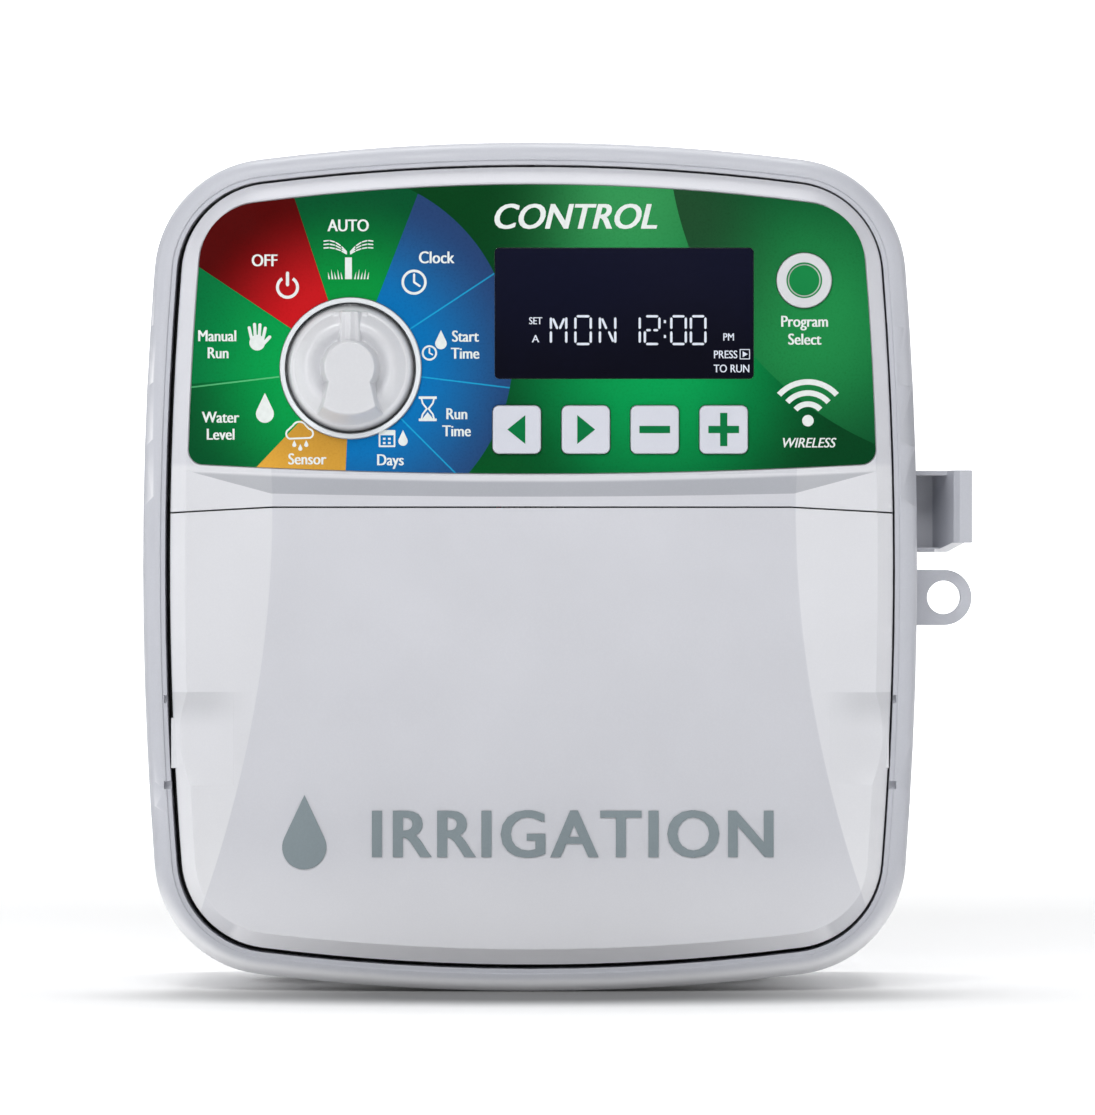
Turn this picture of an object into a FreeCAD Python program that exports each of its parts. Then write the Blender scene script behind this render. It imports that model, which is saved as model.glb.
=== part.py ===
"""Wall-mounted irrigation controller, shown with its outer door taken off.

Frame: the origin is the centre of the housing's back face, on the wall. +X is to the right as
the user sees it, +Z is up and the front faces -Y. "Out" is a distance from the wall, so y = -out.
"""
import FreeCAD, Part
import math
import os
import re
import Sketcher

SIZES = {
    # Shared outline: eight tangent arcs. Each smaller outline is the same one, inset.
    "half_width": 91.25, "half_height": 100, "side_radius": 900, "top_radius": 512,
    "corner_radius": 28,
    # Rear housing
    "back_inset": 3, "draft_out": 69, "rim_out": 73, "rim_roll": 3.9, "back_chamfer": 1.2,
    "lip_inset": 4.3, "lip_out": 72.6, "opening_inset": 5.4, "back_wall": 2.6,
    "back_relief": 1, "back_relief_inset": 16, "pad_radius": 9,
    "post_radius": 4.2, "post_hole": 1.35, "post_hole_depth": 14,
    "post_x": 72, "lower_post_z": -40, "upper_post_x": 60, "upper_post_z": 70,
    "keyhole_z": 72, "keyhole_radius": 5.2, "keyhole_slot": 2.4, "keyhole_rise": 9,
    "wall_screw_x": 50, "wall_screw_z": -72, "wall_screw_radius": 2.6,
    "bore_out": 30, "field_bore_x": 42, "field_bore_radius": 13.9,
    "mains_bore_x": -54, "mains_bore_radius": 11.1,
    "collar_wall": 3, "collar_low": -94.5, "collar_high": -87.5,
    "partition_x": -34, "partition_z": -44, "partition_wall": 2, "partition_out": 40,
    "notch_width": 1, "notch_height": 1.8, "notch_top_z": -30.2, "notch_low_z": -52.2, "notch_depth": 2,
    # Door catch and padlock eye on the right side
    "catch_top": 22.8, "catch_low": 3.5, "catch_plate_out": 40, "catch_plate": 3,
    "catch_web_left": 96.5, "catch_web_right": 100.1, "catch_lip_right": 104.4,
    "catch_web_back": 99.6, "catch_bevel": 101.5, "catch_cheek": 1.1, "catch_cheek_low": 50,
    "catch_cheek_high": 58,
    "catch_front": 66, "catch_lip": 3, "catch_cut": 2.2, "catch_root": 88,
    "eye_x": 98.5, "eye_z": -7.3, "eye_radius": 6.6, "eye_hole": 4, "eye_out": 50, "eye_wall": 4,
    # Front panels: the fascia above, the wiring cover below
    "panel_gap": 0.85, "shift_x": 0.35, "shift_z": 0.25, "foot_out": 66, "edge_out": 72.5,
    "bevel_width": 3.75, "face_out": 76, "panel_wall": 2, "face_wall": 2.6,
    "parting_z": 13.95, "parting_half": 61, "parting_drop": 1.7, "parting_gap": 0.35,
    "panel_reach": 100, "ledge_top": 24, "ledge_half": 82.9, "ledge_back_out": 73.6,
    # Sunken middle of the lower front: a shallow bowl, two side facets and the sloping ledge
    "sink_depth": 3, "bowl_radius": 1773, "facet_x": 0.6, "facet_edge": 81.3, "crease_half": 61.5,
    "slope_z": 21.3, "slope_bow": 2548, "slope_run": 1.6,
    "scoop_top": -29.75, "scoop_low": -51.55, "scoop_start": 70, "scoop_end": 88,
    "scoop_shallow": 0.04, "scoop_deep": 3.2,
    "tab_top": -35.75, "tab_low": -47.55, "tab_reach": 84.35, "tab_back": 68, "tab_front": 72.9,
    "cover_hollow_out": 70.3, "cover_top_wall": 2.3,
    # Overlay film
    "film_half": 81, "film_x": 0.15, "film_side_radius": 890, "film_top": 89.45,
    "film_top_radius": 502, "film_low": 21.65, "film_low_radius": 1400, "film_top_corner": 14.5,
    "film_low_corner": 3.4, "film_recess": 0.5, "film_thick": 0.35, "film_gap": 0.2,
    # Dial
    "dial_x": -42.45, "dial_z": 46.35, "ring_radius": 16.5, "ring_out": 77, "cup_radius": 15.4,
    "cup_floor": 73, "cup_back": 71.2, "cup_outer": 17.2, "boss_radius": 5, "boss_back": 69,
    "shaft_radius": 3, "shaft_clearance": 0.05, "shaft_back": 64, "shaft_front": 80,
    "knob_radius": 15, "knob_back": 73.3, "knob_side_out": 77.2, "crown_radius": 10.4,
    "crown_out": 80.4, "scoop_radius": 5.2, "scoop_out": 78.9, "grip_out": 85.5,
    "hub_radius": 5.75, "grip_top_width": 9, "grip_low_width": 12.6, "grip_low": -12.4,
    "pointer_width": 4.8, "pointer_top": 13.4, "pointer_groove": 1.4, "groove_depth": 0.8,
    "wheel_radius": 9, "wheel_back": 66, "wheel_front": 68, "notch_radius": 0.8, "notches": 9,
    "wiper_radius": 11.5, "wiper_back": 64, "wiper_front": 65.2,
    "pad_ring": 9.5, "contact_radius": 1.6, "contact_thick": 0.15,
    "detent_post": 13.4, "detent_gap": 9.1, "detent_post_radius": 1.5,
    # Keys
    "key_side": 11.3, "key_corner": 1.5, "key_front": 77, "key_clearance": 0.15,
    "key_z": 31.95, "key_start": -3.45, "key_pitch": 16.17, "key_flange": 0.8,
    "flange_front": 73.35, "flange_back": 72.2, "stem_radius": 2.4, "stem_back": 65.2,
    "program_x": 63.95, "program_z": 66.95, "program_radius": 6.45, "dome_radius": 3.6,
    "dome_height": 0.45, "program_dish": 3.9, "program_dish_depth": 0.5,
    # Display
    "lcd_x": 21.75, "lcd_z": 59.25, "window_width": 60.6, "window_height": 30.6,
    "window_corner": 1, "window_gap": 0.1, "window_back": 74.2, "window_front": 75.7,
    "glass_width": 57, "glass_height": 27, "glass_back": 71.6, "glass_front": 73.8,
    "frame_width": 62.4, "frame_height": 32.4, "frame_front": 73.4, "backlight_back": 68,
    "backlight_height": 21, "strip_height": 2.2,
    # Control board
    "board_left": -75, "board_right": 75, "board_low": 23, "board_high": 79,
    "board_back": 62, "board_front": 63.6, "board_screw_x": 70, "board_screw_low": 26,
    "board_screw_high": 74, "standoff_radius": 2.8, "pilot_radius": 1.1,
    "chip_left": -6, "chip_right": 8, "chip_low": 42, "chip_high": 56, "chip_thick": 1.8,
    "driver_left": 26, "driver_right": 38, "driver_low": 46, "driver_high": 54,
    "driver_thick": 1.5, "can_z": 34, "can_tall": 8.5, "can_radius": 4, "small_can_radius": 3,
    # Chassis tray
    "tray_gap": 0.35, "tray_back": 50, "tray_floor": 52.5, "tray_wall_inset": 8.2,
    "tray_bar_low": 10.6, "tray_bar_high": 13.2,
    "mains_window_left": -72, "mains_window_right": -40, "mains_window_low": -80,
    "mains_window_high": -52, "wire_window_left": 4, "wire_window_right": 68,
    "wire_window_low": -82, "wire_window_high": -58, "tray_post_radius": 3.4,
    "tray_hole": 1.65, "fascia_hole": 1.25, "fascia_hole_out": 71, "fascia_boss": 3,
    "top_screw_x": 50, "top_screw_z": 84, "side_screw_x": 79.3, "side_screw_z": 48,
    "low_screw_x": 40, "low_screw_z": 18.8,
    "plug_left": -2, "plug_right": 10, "plug_low": -10, "plug_high": 6, "plug_gap": 0.5,
    "ribbon_half": 8, "ribbon_back": 58.2, "ribbon_front": 58.8, "ribbon_room": 0.7,
    # Terminal board and what it carries
    "deck_left": -56, "deck_right": 66, "deck_low": -40, "deck_high": -6, "deck_back": 55,
    "deck_front": 56.6, "strip_left": -50, "strip_pitch": 6, "strip_ways": 18, "strip_low": -38,
    "strip_high": -23, "strip_front": 66.5, "wire_hole": 3.6, "wire_hole_out": 59.5,
    "screw_well": 2.1, "screw_well_z": -32, "well_depth": 5, "clamp_radius": 2,
    "port_left": 34, "port_right": 52, "port_low": -19, "port_high": -9, "port_front": 64,
    "port_wall": 1.4, "port_mouth": 4.6, "pin_radius": 0.4, "pin_pitch": 3,
    "reset_x": -30, "reset_z": -13, "reset_side": 6, "reset_front": 60.6, "reset_radius": 1.6,
    "reset_cap": 2.3, "reset_cap_front": 63.2, "reset_room": 0.6, "reset_stem_back": 59.2,
    "disc_start": -20, "disc_pitch": 8, "disc_z": -14, "disc_lift": 3.6, "disc_radius": 3.5,
    "disc_thick": 2.4,
    # Backup battery
    "cell_x": -69.6, "cell_z": -20, "cell_radius": 10, "cell_thick": 3.2, "cell_back": 54.6,
    "holder_half": 11.6, "holder_front": 58, "holder_gap": 0.25, "leaf_thick": 0.3,
    # Transformer in the back of the housing
    "core_x": -39, "core_z": -2, "core_half_width": 25, "core_half_height": 21, "core_back": 12,
    "core_front": 34, "leg_half": 8, "slot_half": 17, "slot_height": 13, "coil_back": 7.5,
    "coil_front": 38.5, "coil_gap": 0.15, "strap_thick": 1.2, "strap_low": 14, "strap_high": 20,
    "foot_reach": 34, "foot_out_low": 8, "foot_half": 9, "foot_screw": 30.5,
    "lead_radius": 0.9, "lead_bend": 4, "lead_out": 44,
    # Mains side
    "mains_block_left": -71, "mains_block_right": -41, "mains_block_low": -62,
    "mains_block_high": -48, "mains_block_front": 22, "mains_pitch": 10,
    "lid_left": -74, "lid_right": -30, "lid_low": -81.5, "lid_high": -49.5, "lid_front": 59,
    "lid_wall": 1.6, "lid_screw_x": -34.5, "lid_screw_z": -66, "lid_foot": 9,
}

doc = FreeCAD.newDocument("IrrigationController")
sheet = doc.addObject("Spreadsheet::Sheet", "Sizes")
for row, (alias, number) in enumerate(SIZES.items(), start=1):
    sheet.set(f"A{row}", alias)
    sheet.set(f"B{row}", str(number))
    sheet.setAlias(f"B{row}", alias)
doc.recompute()

sub_parts = []


def formula(text):
    """The text with each size's name written as its cell in the sheet."""
    return re.sub(r"[a-z_]+", lambda word: f"Sizes.{word[0]}" if word[0] in SIZES else word[0],
                  str(text))


def value(text):
    return float(sheet.evalExpression(formula(text)))


def bind(thing, name, text):
    thing.setExpression(name, formula(text))


def finished(thing, label):
    """Names a sub-part and lists it for writing."""
    thing.Label = label
    sub_parts.append(thing)
    return thing


# ---------------------------------------------------------------- sketches


def sketch_on(body, role, height):
    """A sketch on one of the body's own planes, moved along its normal by height.

    On XZ_Plane the sketch shows (x, z) and height is the distance out from the wall.
    """
    sketch = body.newObject("Sketcher::SketchObject", "Sketch")
    plane = next(item for item in body.Origin.OriginFeatures if item.Role == role)
    sketch.AttachmentSupport = [(plane, "")]
    sketch.MapMode = "FlatFace"
    bind(sketch, "AttachmentOffset.Base.z", height)
    return sketch


def drive(sketch, kind, *references, by):
    """A dimension driven by the sheet."""
    index = sketch.addConstraint(Sketcher.Constraint(kind, *references, value(by)))
    bind(sketch, f"Constraints[{index}]", by)


def pin(sketch, item, point, across, up):
    """Fixes one point of an item at (across, up)."""
    for kind, axis, by in (("DistanceX", -2, across), ("DistanceY", -1, up)):
        if abs(value(by)) < 1e-9:
            sketch.addConstraint(Sketcher.Constraint("PointOnObject", item, point, axis))
        else:
            drive(sketch, kind, -1, 1, item, point, by=by)


def circle(sketch, across, up, radius):
    centre = FreeCAD.Vector(value(across), value(up), 0)
    item = sketch.addGeometry(Part.Circle(centre, FreeCAD.Vector(0, 0, 1), value(radius)))
    pin(sketch, item, 3, across, up)
    drive(sketch, "Radius", item, by=radius)


def polygon(sketch, corners):
    """A closed outline of straight edges through the corners."""
    places = [FreeCAD.Vector(value(across), value(up), 0) for across, up in corners]
    first = sketch.GeometryCount
    count = len(corners)
    for index in range(count):
        sketch.addGeometry(Part.LineSegment(places[index], places[(index + 1) % count]))
    for index, (across, up) in enumerate(corners):
        item = first + index
        following = first + (index + 1) % count
        sketch.addConstraint(Sketcher.Constraint("Coincident", item, 2, following, 1))
        pin(sketch, item, 1, across, up)


def rectangle(sketch, left, low, right, high):
    polygon(sketch, [(left, low), (right, low), (right, high), (left, high)])


def rounded_rectangle(sketch, across, up, width, height, corner):
    """A rectangle about (across, up) with round corners."""
    middle = FreeCAD.Vector(value(across), value(up), 0)
    half_x = value(width) / 2
    half_y = value(height) / 2
    radius = value(corner)
    first = sketch.GeometryCount
    for turn, (far, near) in enumerate([(half_x, half_y), (half_y, half_x)] * 2):
        spin = FreeCAD.Rotation(FreeCAD.Vector(0, 0, 1), 90 * turn)
        start = middle + spin.multVec(FreeCAD.Vector(far, radius - near, 0))
        end = middle + spin.multVec(FreeCAD.Vector(far, near - radius, 0))
        centre = middle + spin.multVec(FreeCAD.Vector(far - radius, near - radius, 0))
        sketch.addGeometry(Part.LineSegment(start, end))
        round_corner = Part.Circle(centre, FreeCAD.Vector(0, 0, 1), radius)
        begin = math.radians(90 * turn)
        sketch.addGeometry(Part.ArcOfCircle(round_corner, begin, begin + math.pi / 2))
    for index in range(8):
        item = first + index
        following = first + (index + 1) % 8
        sketch.addConstraint(Sketcher.Constraint("Tangent", item, 2, following, 1))
    for index, kind in ((0, "Vertical"), (2, "Horizontal"), (4, "Vertical"), (6, "Horizontal")):
        sketch.addConstraint(Sketcher.Constraint(kind, first + index))
    for index in (1, 3, 5, 7):
        drive(sketch, "Radius", first + index, by=corner)
    drive(sketch, "DistanceX", -1, 1, first, 1, by=f"{across} + ({width}) / 2")
    drive(sketch, "DistanceX", -1, 1, first + 4, 1, by=f"{across} - ({width}) / 2")
    drive(sketch, "DistanceY", -1, 1, first + 2, 1, by=f"{up} + ({height}) / 2")
    drive(sketch, "DistanceY", -1, 1, first + 6, 1, by=f"{up} - ({height}) / 2")


def eight_arcs(sketch, middle, half, side, high, top, low, bottom, top_corner, low_corner):
    """A closed run of eight tangent arcs: two sides, a top, a bottom and four corners.

    The sides are centred on the X axis. All arguments are formulas: middle and half place the
    sides, high and low the top and bottom, and the rest are radii.
    """
    centre_x = value(middle)
    side_r = value(side)
    offset = side_r - value(half)
    arcs = []
    for sign, level, big, corner in ((1, high, top, top_corner), (-1, low, bottom, low_corner)):
        big_r = value(big)
        big_y = value(level) - sign * big_r
        corner_r = value(corner)
        reach_side = side_r - corner_r
        reach_big = big_r - corner_r
        # The corner's centre is reach_side from the side's centre and reach_big from the other's.
        gap = math.hypot(offset, big_y)
        along = (reach_side**2 - reach_big**2 + gap**2) / (2 * gap)
        across = math.sqrt(reach_side**2 - along**2)
        ux, uy = offset / gap, big_y / gap
        corner_x = -offset + along * ux + across * sign * -uy
        corner_y = along * uy + across * sign * ux
        arcs.append((corner_x, corner_y, corner_r, big_r, big_y))
    places = []
    (tx, ty, tr, big_top, top_y), (bx, by, br, big_low, low_y) = arcs
    low_angle = math.atan2(by, bx + offset)
    high_angle = math.atan2(ty, tx + offset)
    top_angle = math.atan2(ty - top_y, tx)
    bottom_angle = math.atan2(by - low_y, bx)
    places.append((centre_x - offset, 0, side_r, low_angle, high_angle))
    places.append((centre_x + tx, ty, tr, high_angle, top_angle))
    places.append((centre_x, top_y, big_top, top_angle, math.pi - top_angle))
    places.append((centre_x - tx, ty, tr, math.pi - top_angle, math.pi - high_angle))
    places.append((centre_x + offset, 0, side_r, math.pi - high_angle, math.pi - low_angle))
    places.append((centre_x - bx, by, br, math.pi - low_angle, math.pi - bottom_angle))
    places.append((centre_x, low_y, big_low, math.pi - bottom_angle, 2 * math.pi + bottom_angle))
    places.append((centre_x + bx, by, br, bottom_angle, low_angle))
    first = sketch.GeometryCount
    for px, py, radius, begin, end in places:
        ring = Part.Circle(FreeCAD.Vector(px, py, 0), FreeCAD.Vector(0, 0, 1), radius)
        sketch.addGeometry(Part.ArcOfCircle(ring, begin, end))
    for index in range(8):
        following = first + (index + 1) % 8
        sketch.addConstraint(Sketcher.Constraint("Tangent", first + index, 2, following, 1))
    radii = (side, top_corner, top, top_corner, side, low_corner, bottom, low_corner)
    for index, radius in enumerate(radii):
        drive(sketch, "Radius", first + index, by=radius)
    pin(sketch, first, 3, f"{middle} + ({half}) - ({side})", "0")
    pin(sketch, first + 4, 3, f"{middle} - ({half}) + ({side})", "0")
    pin(sketch, first + 2, 3, middle, f"({high}) - ({top})")
    pin(sketch, first + 6, 3, middle, f"({low}) + ({bottom})")


def outline(sketch, inset):
    """The controller's own outline, inset all round."""
    eight_arcs(sketch, "0", f"half_width - ({inset})", f"side_radius - ({inset})",
               f"half_height - ({inset})", f"top_radius - ({inset})",
               f"({inset}) - half_height", f"top_radius - ({inset})",
               f"corner_radius - ({inset})", f"corner_radius - ({inset})")


# ---------------------------------------------------------------- features


def new_body(name):
    return doc.addObject("PartDesign::Body", name)


def settle(body, feature, adds):
    """Recomputes and makes sure that the feature added or removed material."""
    before = body.Shape.Volume if not body.Shape.isNull() else 0
    doc.recompute()
    change = body.Shape.Volume - before
    if (change > 0) != adds or abs(change) < 1e-6:
        raise RuntimeError(f"{body.Name}: {feature.Name} changed the volume by {change:.4f}")
    return feature


def pad(body, sketch, length, backward=False):
    feature = body.newObject("PartDesign::Pad", "Pad")
    feature.Profile = sketch
    bind(feature, "Length", length)
    feature.Reversed = backward
    return settle(body, feature, True)


def pocket(body, sketch, length, forward=False):
    """A pocket towards the wall, or away from it when forward is set."""
    feature = body.newObject("PartDesign::Pocket", "Pocket")
    feature.Profile = sketch
    bind(feature, "Length", length)
    feature.Reversed = forward
    return settle(body, feature, False)


def loft(body, sketches, kind="PartDesign::AdditiveLoft"):
    feature = body.newObject(kind, "Loft")
    feature.Profile = sketches[0]
    feature.Sections = sketches[1:]
    feature.Ruled = True
    return settle(body, feature, "Additive" in kind)


def blend_edges(body, kind, amount, wanted):
    """Rounds (Fillet) or bevels (Chamfer) each edge of the body for which wanted(edge) holds."""
    base = body.Tip
    names = [f"Edge{n}" for n, edge in enumerate(body.Shape.Edges, start=1) if wanted(edge)]
    feature = body.newObject(f"PartDesign::{kind}", kind)
    feature.Base = (base, names)
    bind(feature, "Radius" if kind == "Fillet" else "Size", amount)
    doc.recompute()
    return feature


def lies_at_out(edge, level):
    """True for an edge that stays at one distance out from the wall."""
    box = edge.BoundBox
    return abs(box.YMin + level) < 0.01 and abs(box.YMax + level) < 0.01


def block(left, right, back, front, low, high, name="Block"):
    """A box between the given x, out and z limits."""
    solid = doc.addObject("Part::Box", name)
    bind(solid, "Length", f"({right}) - ({left})")
    bind(solid, "Width", f"({front}) - ({back})")
    bind(solid, "Height", f"({high}) - ({low})")
    bind(solid, "Placement.Base.x", left)
    bind(solid, "Placement.Base.y", f"-({front})")
    bind(solid, "Placement.Base.z", low)
    return solid


def rod(across, up, back, front, radius, name="Rod"):
    """A round bar at (across, up) that stands straight out from the wall."""
    solid = doc.addObject("Part::Cylinder", name)
    solid.Placement.Rotation = FreeCAD.Rotation(FreeCAD.Vector(1, 0, 0), 90)
    bind(solid, "Radius", radius)
    bind(solid, "Height", f"({front}) - ({back})")
    bind(solid, "Placement.Base.x", across)
    bind(solid, "Placement.Base.y", f"-({back})")
    bind(solid, "Placement.Base.z", up)
    return solid


def joined(solids, kind="Part::MultiFuse"):
    whole = doc.addObject(kind, "Joined")
    whole.Shapes = solids
    return whole


def cut(base, tool):
    rest = doc.addObject("Part::Cut", "Cut")
    rest.Base = base
    rest.Tool = tool
    return rest


def group(solids, label):
    """Several separate solids kept as one sub-part."""
    whole = doc.addObject("Part::Compound", "Group")
    whole.Links = solids
    return finished(whole, label)


def screw(across, up, tip, seat, shank, head, head_height):
    """A cross-head screw pointing at the wall: its head rests at seat."""
    stem = rod(across, up, tip, seat, shank)
    cap = rod(across, up, seat, f"{seat} + {head_height}", head)
    top = f"{seat} + {head_height}"
    arm = f"0.7 * ({head})"
    width = f"0.14 * ({head})"
    floor = f"{seat} + 0.4 * {head_height}"
    wide = block(f"{across} - {arm}", f"{across} + {arm}", floor, f"{top} + 1",
                 f"{up} - {width}", f"{up} + {width}")
    tall = block(f"{across} - {width}", f"{across} + {width}", floor, f"{top} + 1",
                 f"{up} - {arm}", f"{up} + {arm}")
    return cut(joined([stem, cap]), joined([wide, tall]))


# ---------------------------------------------------------------- rear housing


def make_housing():
    body = new_body("rear_housing")
    back = sketch_on(body, "XZ_Plane", "0")
    outline(back, "back_inset")
    front = sketch_on(body, "XZ_Plane", "draft_out")
    outline(front, "0")
    loft(body, [back, front])
    rim = sketch_on(body, "XZ_Plane", "draft_out")
    outline(rim, "0")
    pad(body, rim, "rim_out - draft_out")
    blend_edges(body, "Fillet", "rim_roll", lambda edge: lies_at_out(edge, value("rim_out")))
    blend_edges(body, "Chamfer", "back_chamfer", lambda edge: lies_at_out(edge, 0))
    lip = sketch_on(body, "XZ_Plane", "rim_out")
    outline(lip, "lip_inset")
    pocket(body, lip, "rim_out - lip_out")
    cavity = sketch_on(body, "XZ_Plane", "rim_out")
    outline(cavity, "opening_inset")
    pocket(body, cavity, "rim_out - back_wall")

    posts = sketch_on(body, "XZ_Plane", "back_wall - 1")
    pilots = sketch_on(body, "XZ_Plane", "tray_back")
    for across, up in POST_PLACES:
        circle(posts, across, up, "post_radius")
        circle(pilots, across, up, "post_hole")
    pad(body, posts, "tray_back - back_wall + 1")
    pocket(body, pilots, "post_hole_depth")
    feet = sketch_on(body, "XZ_Plane", "back_wall - 1")
    foot_pilots = sketch_on(body, "XZ_Plane", "foot_out_low")
    for across in ("core_x - foot_screw", "core_x + foot_screw"):
        circle(feet, across, "core_z", "post_radius")
        circle(foot_pilots, across, "core_z", "post_hole")
    pad(body, feet, "foot_out_low - back_wall + 1")
    pocket(body, foot_pilots, "foot_out_low - back_wall")

    walls = sketch_on(body, "XZ_Plane", "back_wall - 1")
    polygon(walls, [("-half_width + opening_inset - 0.6", "partition_z - partition_wall"),
                    ("partition_x - partition_wall", "partition_z - partition_wall"),
                    ("partition_x - partition_wall", "opening_inset - half_height - 0.2"),
                    ("partition_x", "opening_inset - half_height - 0.2"),
                    ("partition_x", "partition_z"),
                    ("-half_width + opening_inset - 0.6", "partition_z")])
    pad(body, walls, "partition_out - back_wall + 1")

    for across, radius in (("field_bore_x", "field_bore_radius"),
                           ("mains_bore_x", "mains_bore_radius")):
        collar = sketch_on(body, "XY_Plane", "collar_low")
        circle(collar, across, "-bore_out", f"{radius} + collar_wall")
        pad(body, collar, "collar_high - collar_low")
        bore = sketch_on(body, "XY_Plane", "collar_high + 1")
        circle(bore, across, "-bore_out", radius)
        pocket(body, bore, "half_height + collar_high + 2")

    relief = sketch_on(body, "XZ_Plane", "0")
    outline(relief, "back_relief_inset")
    for across, up in (("0", "keyhole_z"), ("-wall_screw_x", "wall_screw_z"),
                       ("wall_screw_x", "wall_screw_z")):
        circle(relief, across, up, "pad_radius")
    pocket(body, relief, "back_relief", forward=True)
    holes = sketch_on(body, "XZ_Plane", "back_wall + 1")
    for across in ("-wall_screw_x", "wall_screw_x"):
        circle(holes, across, "wall_screw_z", "wall_screw_radius")
    circle(holes, "0", "keyhole_z", "keyhole_radius")
    pocket(body, holes, "back_wall + 2")
    slot = sketch_on(body, "XZ_Plane", "back_wall + 1")
    rounded_rectangle(slot, "0", "keyhole_z + keyhole_rise / 2", "2 * keyhole_slot",
                      "keyhole_rise + 2 * keyhole_slot", "keyhole_slot - 0.01")
    pocket(body, slot, "back_wall + 2")

    notches = sketch_on(body, "XZ_Plane", "rim_out")
    for side in ("-1", "1"):
        inner = f"{side} * (half_width - opening_inset - 2)"
        outer = f"{side} * (half_width - opening_inset - 0.8 + notch_width)"
        for top in ("notch_top_z", "notch_low_z + notch_height"):
            rectangle(notches, inner, f"{top} - notch_height", outer, top)
    pocket(body, notches, "notch_depth")
    add_catch(body)
    add_eye(body)
    finished(body, "rear_housing")


def add_catch(body):
    """The door's catch: a plate off the side wall, a slanted web forward and a lip turned out."""
    plan = sketch_on(body, "XY_Plane", "catch_low")
    polygon(plan, [("catch_root", "-catch_plate_out"), ("catch_web_back", "-catch_plate_out"),
                   ("catch_lip_right - 1.6", "-(catch_front - catch_lip)"),
                   ("catch_lip_right", "-(catch_front - catch_lip)"),
                   ("catch_lip_right", "-catch_front"), ("catch_bevel", "-catch_front"),
                   ("catch_web_right", "-(catch_front - 1.5)"),
                   ("catch_web_left", "-(catch_plate_out + catch_plate)"),
                   ("catch_root", "-(catch_plate_out + catch_plate)")])
    pad(body, plan, "catch_top - catch_low")
    cheeks = (("catch_low", "catch_cheek_low"), ("catch_top - catch_cheek", "catch_cheek_high"))
    for low, front in cheeks:
        cheek = sketch_on(body, "XY_Plane", low)
        slant = "(catch_web_right - catch_web_left) / (catch_front - catch_plate_out)"
        polygon(cheek, [("catch_root", "-catch_plate_out"), ("catch_web_left", "-catch_plate_out"),
                        (f"catch_web_left + ({front} - catch_plate_out) * {slant} + 0.3",
                         f"-{front}"),
                        ("catch_root", f"-{front}")])
        pad(body, cheek, "catch_cheek")
    under = sketch_on(body, "YZ_Plane", "catch_lip_right + 1")
    polygon(under, [("-(catch_plate_out + catch_plate)", "catch_low"),
                    ("-(catch_front - catch_lip)", "catch_low + catch_cut"),
                    ("-(catch_front + 1)", "catch_low + catch_cut"),
                    ("-(catch_front + 1)", "catch_low - 1"),
                    ("-(catch_plate_out + catch_plate)", "catch_low - 1")])
    pocket(body, under, "catch_lip_right + 1 - catch_web_left")


def add_eye(body):
    """The padlock eye: an upright plate off the side wall with a round end and a hole."""
    plate = sketch_on(body, "XZ_Plane", "eye_out")
    rectangle(plate, "catch_root", "eye_z - eye_radius", "eye_x", "eye_z + eye_radius")
    pad(body, plate, "eye_wall")
    end = sketch_on(body, "XZ_Plane", "eye_out")
    circle(end, "eye_x", "eye_z", "eye_radius")
    pad(body, end, "eye_wall")
    hole = sketch_on(body, "XZ_Plane", "eye_out + eye_wall")
    circle(hole, "eye_x", "eye_z", "eye_hole")
    pocket(body, hole, "eye_wall")


POST_PLACES = [("-post_x", "lower_post_z"), ("post_x", "lower_post_z"),
               ("-upper_post_x", "upper_post_z"), ("upper_post_x", "upper_post_z")]
FASCIA_SCREWS = [("-top_screw_x", "top_screw_z"), ("top_screw_x", "top_screw_z"),
                 ("-side_screw_x", "side_screw_z"), ("side_screw_x", "side_screw_z"),
                 ("-low_screw_x", "low_screw_z"), ("low_screw_x", "low_screw_z")]
KEY_NAMES = ("key_left", "key_right", "key_minus", "key_plus")


# ---------------------------------------------------------------- front panels


def panel_shell(name, ceiling):
    """The shared front panel: side wall, bevel and face, hollow behind up to ceiling."""
    body = new_body(name)
    bind(body, "Placement.Base.x", "shift_x")
    bind(body, "Placement.Base.z", "shift_z")
    foot = sketch_on(body, "XZ_Plane", "foot_out")
    outline(foot, "opening_inset + panel_gap")
    pad(body, foot, "edge_out - foot_out")
    edge = sketch_on(body, "XZ_Plane", "edge_out")
    outline(edge, "opening_inset + panel_gap")
    face = sketch_on(body, "XZ_Plane", "face_out")
    outline(face, "opening_inset + panel_gap + bevel_width")
    loft(body, [edge, face])
    hollow = sketch_on(body, "XZ_Plane", "foot_out")
    outline(hollow, "opening_inset + panel_gap + panel_wall")
    pocket(body, hollow, f"{ceiling} - foot_out", forward=True)
    return body


def parting_line(reach, lower):
    """The line between the two panels: level in the middle, falling towards both sides.

    Lower drops it a little, for the top of the cover.
    """
    slope = "parting_drop / (half_width - parting_half)"
    end = f"parting_z - {lower} - ({reach} - parting_half) * {slope}"
    middle = f"parting_z - {lower}"
    return [(f"-({reach})", end), ("-parting_half", middle), ("parting_half", middle),
            (reach, end)]


def cut_at_parting(body, keep_above, lower):
    """Removes the half of the panel on the far side of the parting line."""
    far = "-half_height - 5" if keep_above else "half_height + 5"
    corners = [("-panel_reach", far)] + parting_line("panel_reach", lower) + [("panel_reach", far)]
    half = sketch_on(body, "XZ_Plane", "face_out + 4")
    polygon(half, corners)
    pocket(body, half, "face_out - foot_out + 5")


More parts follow.
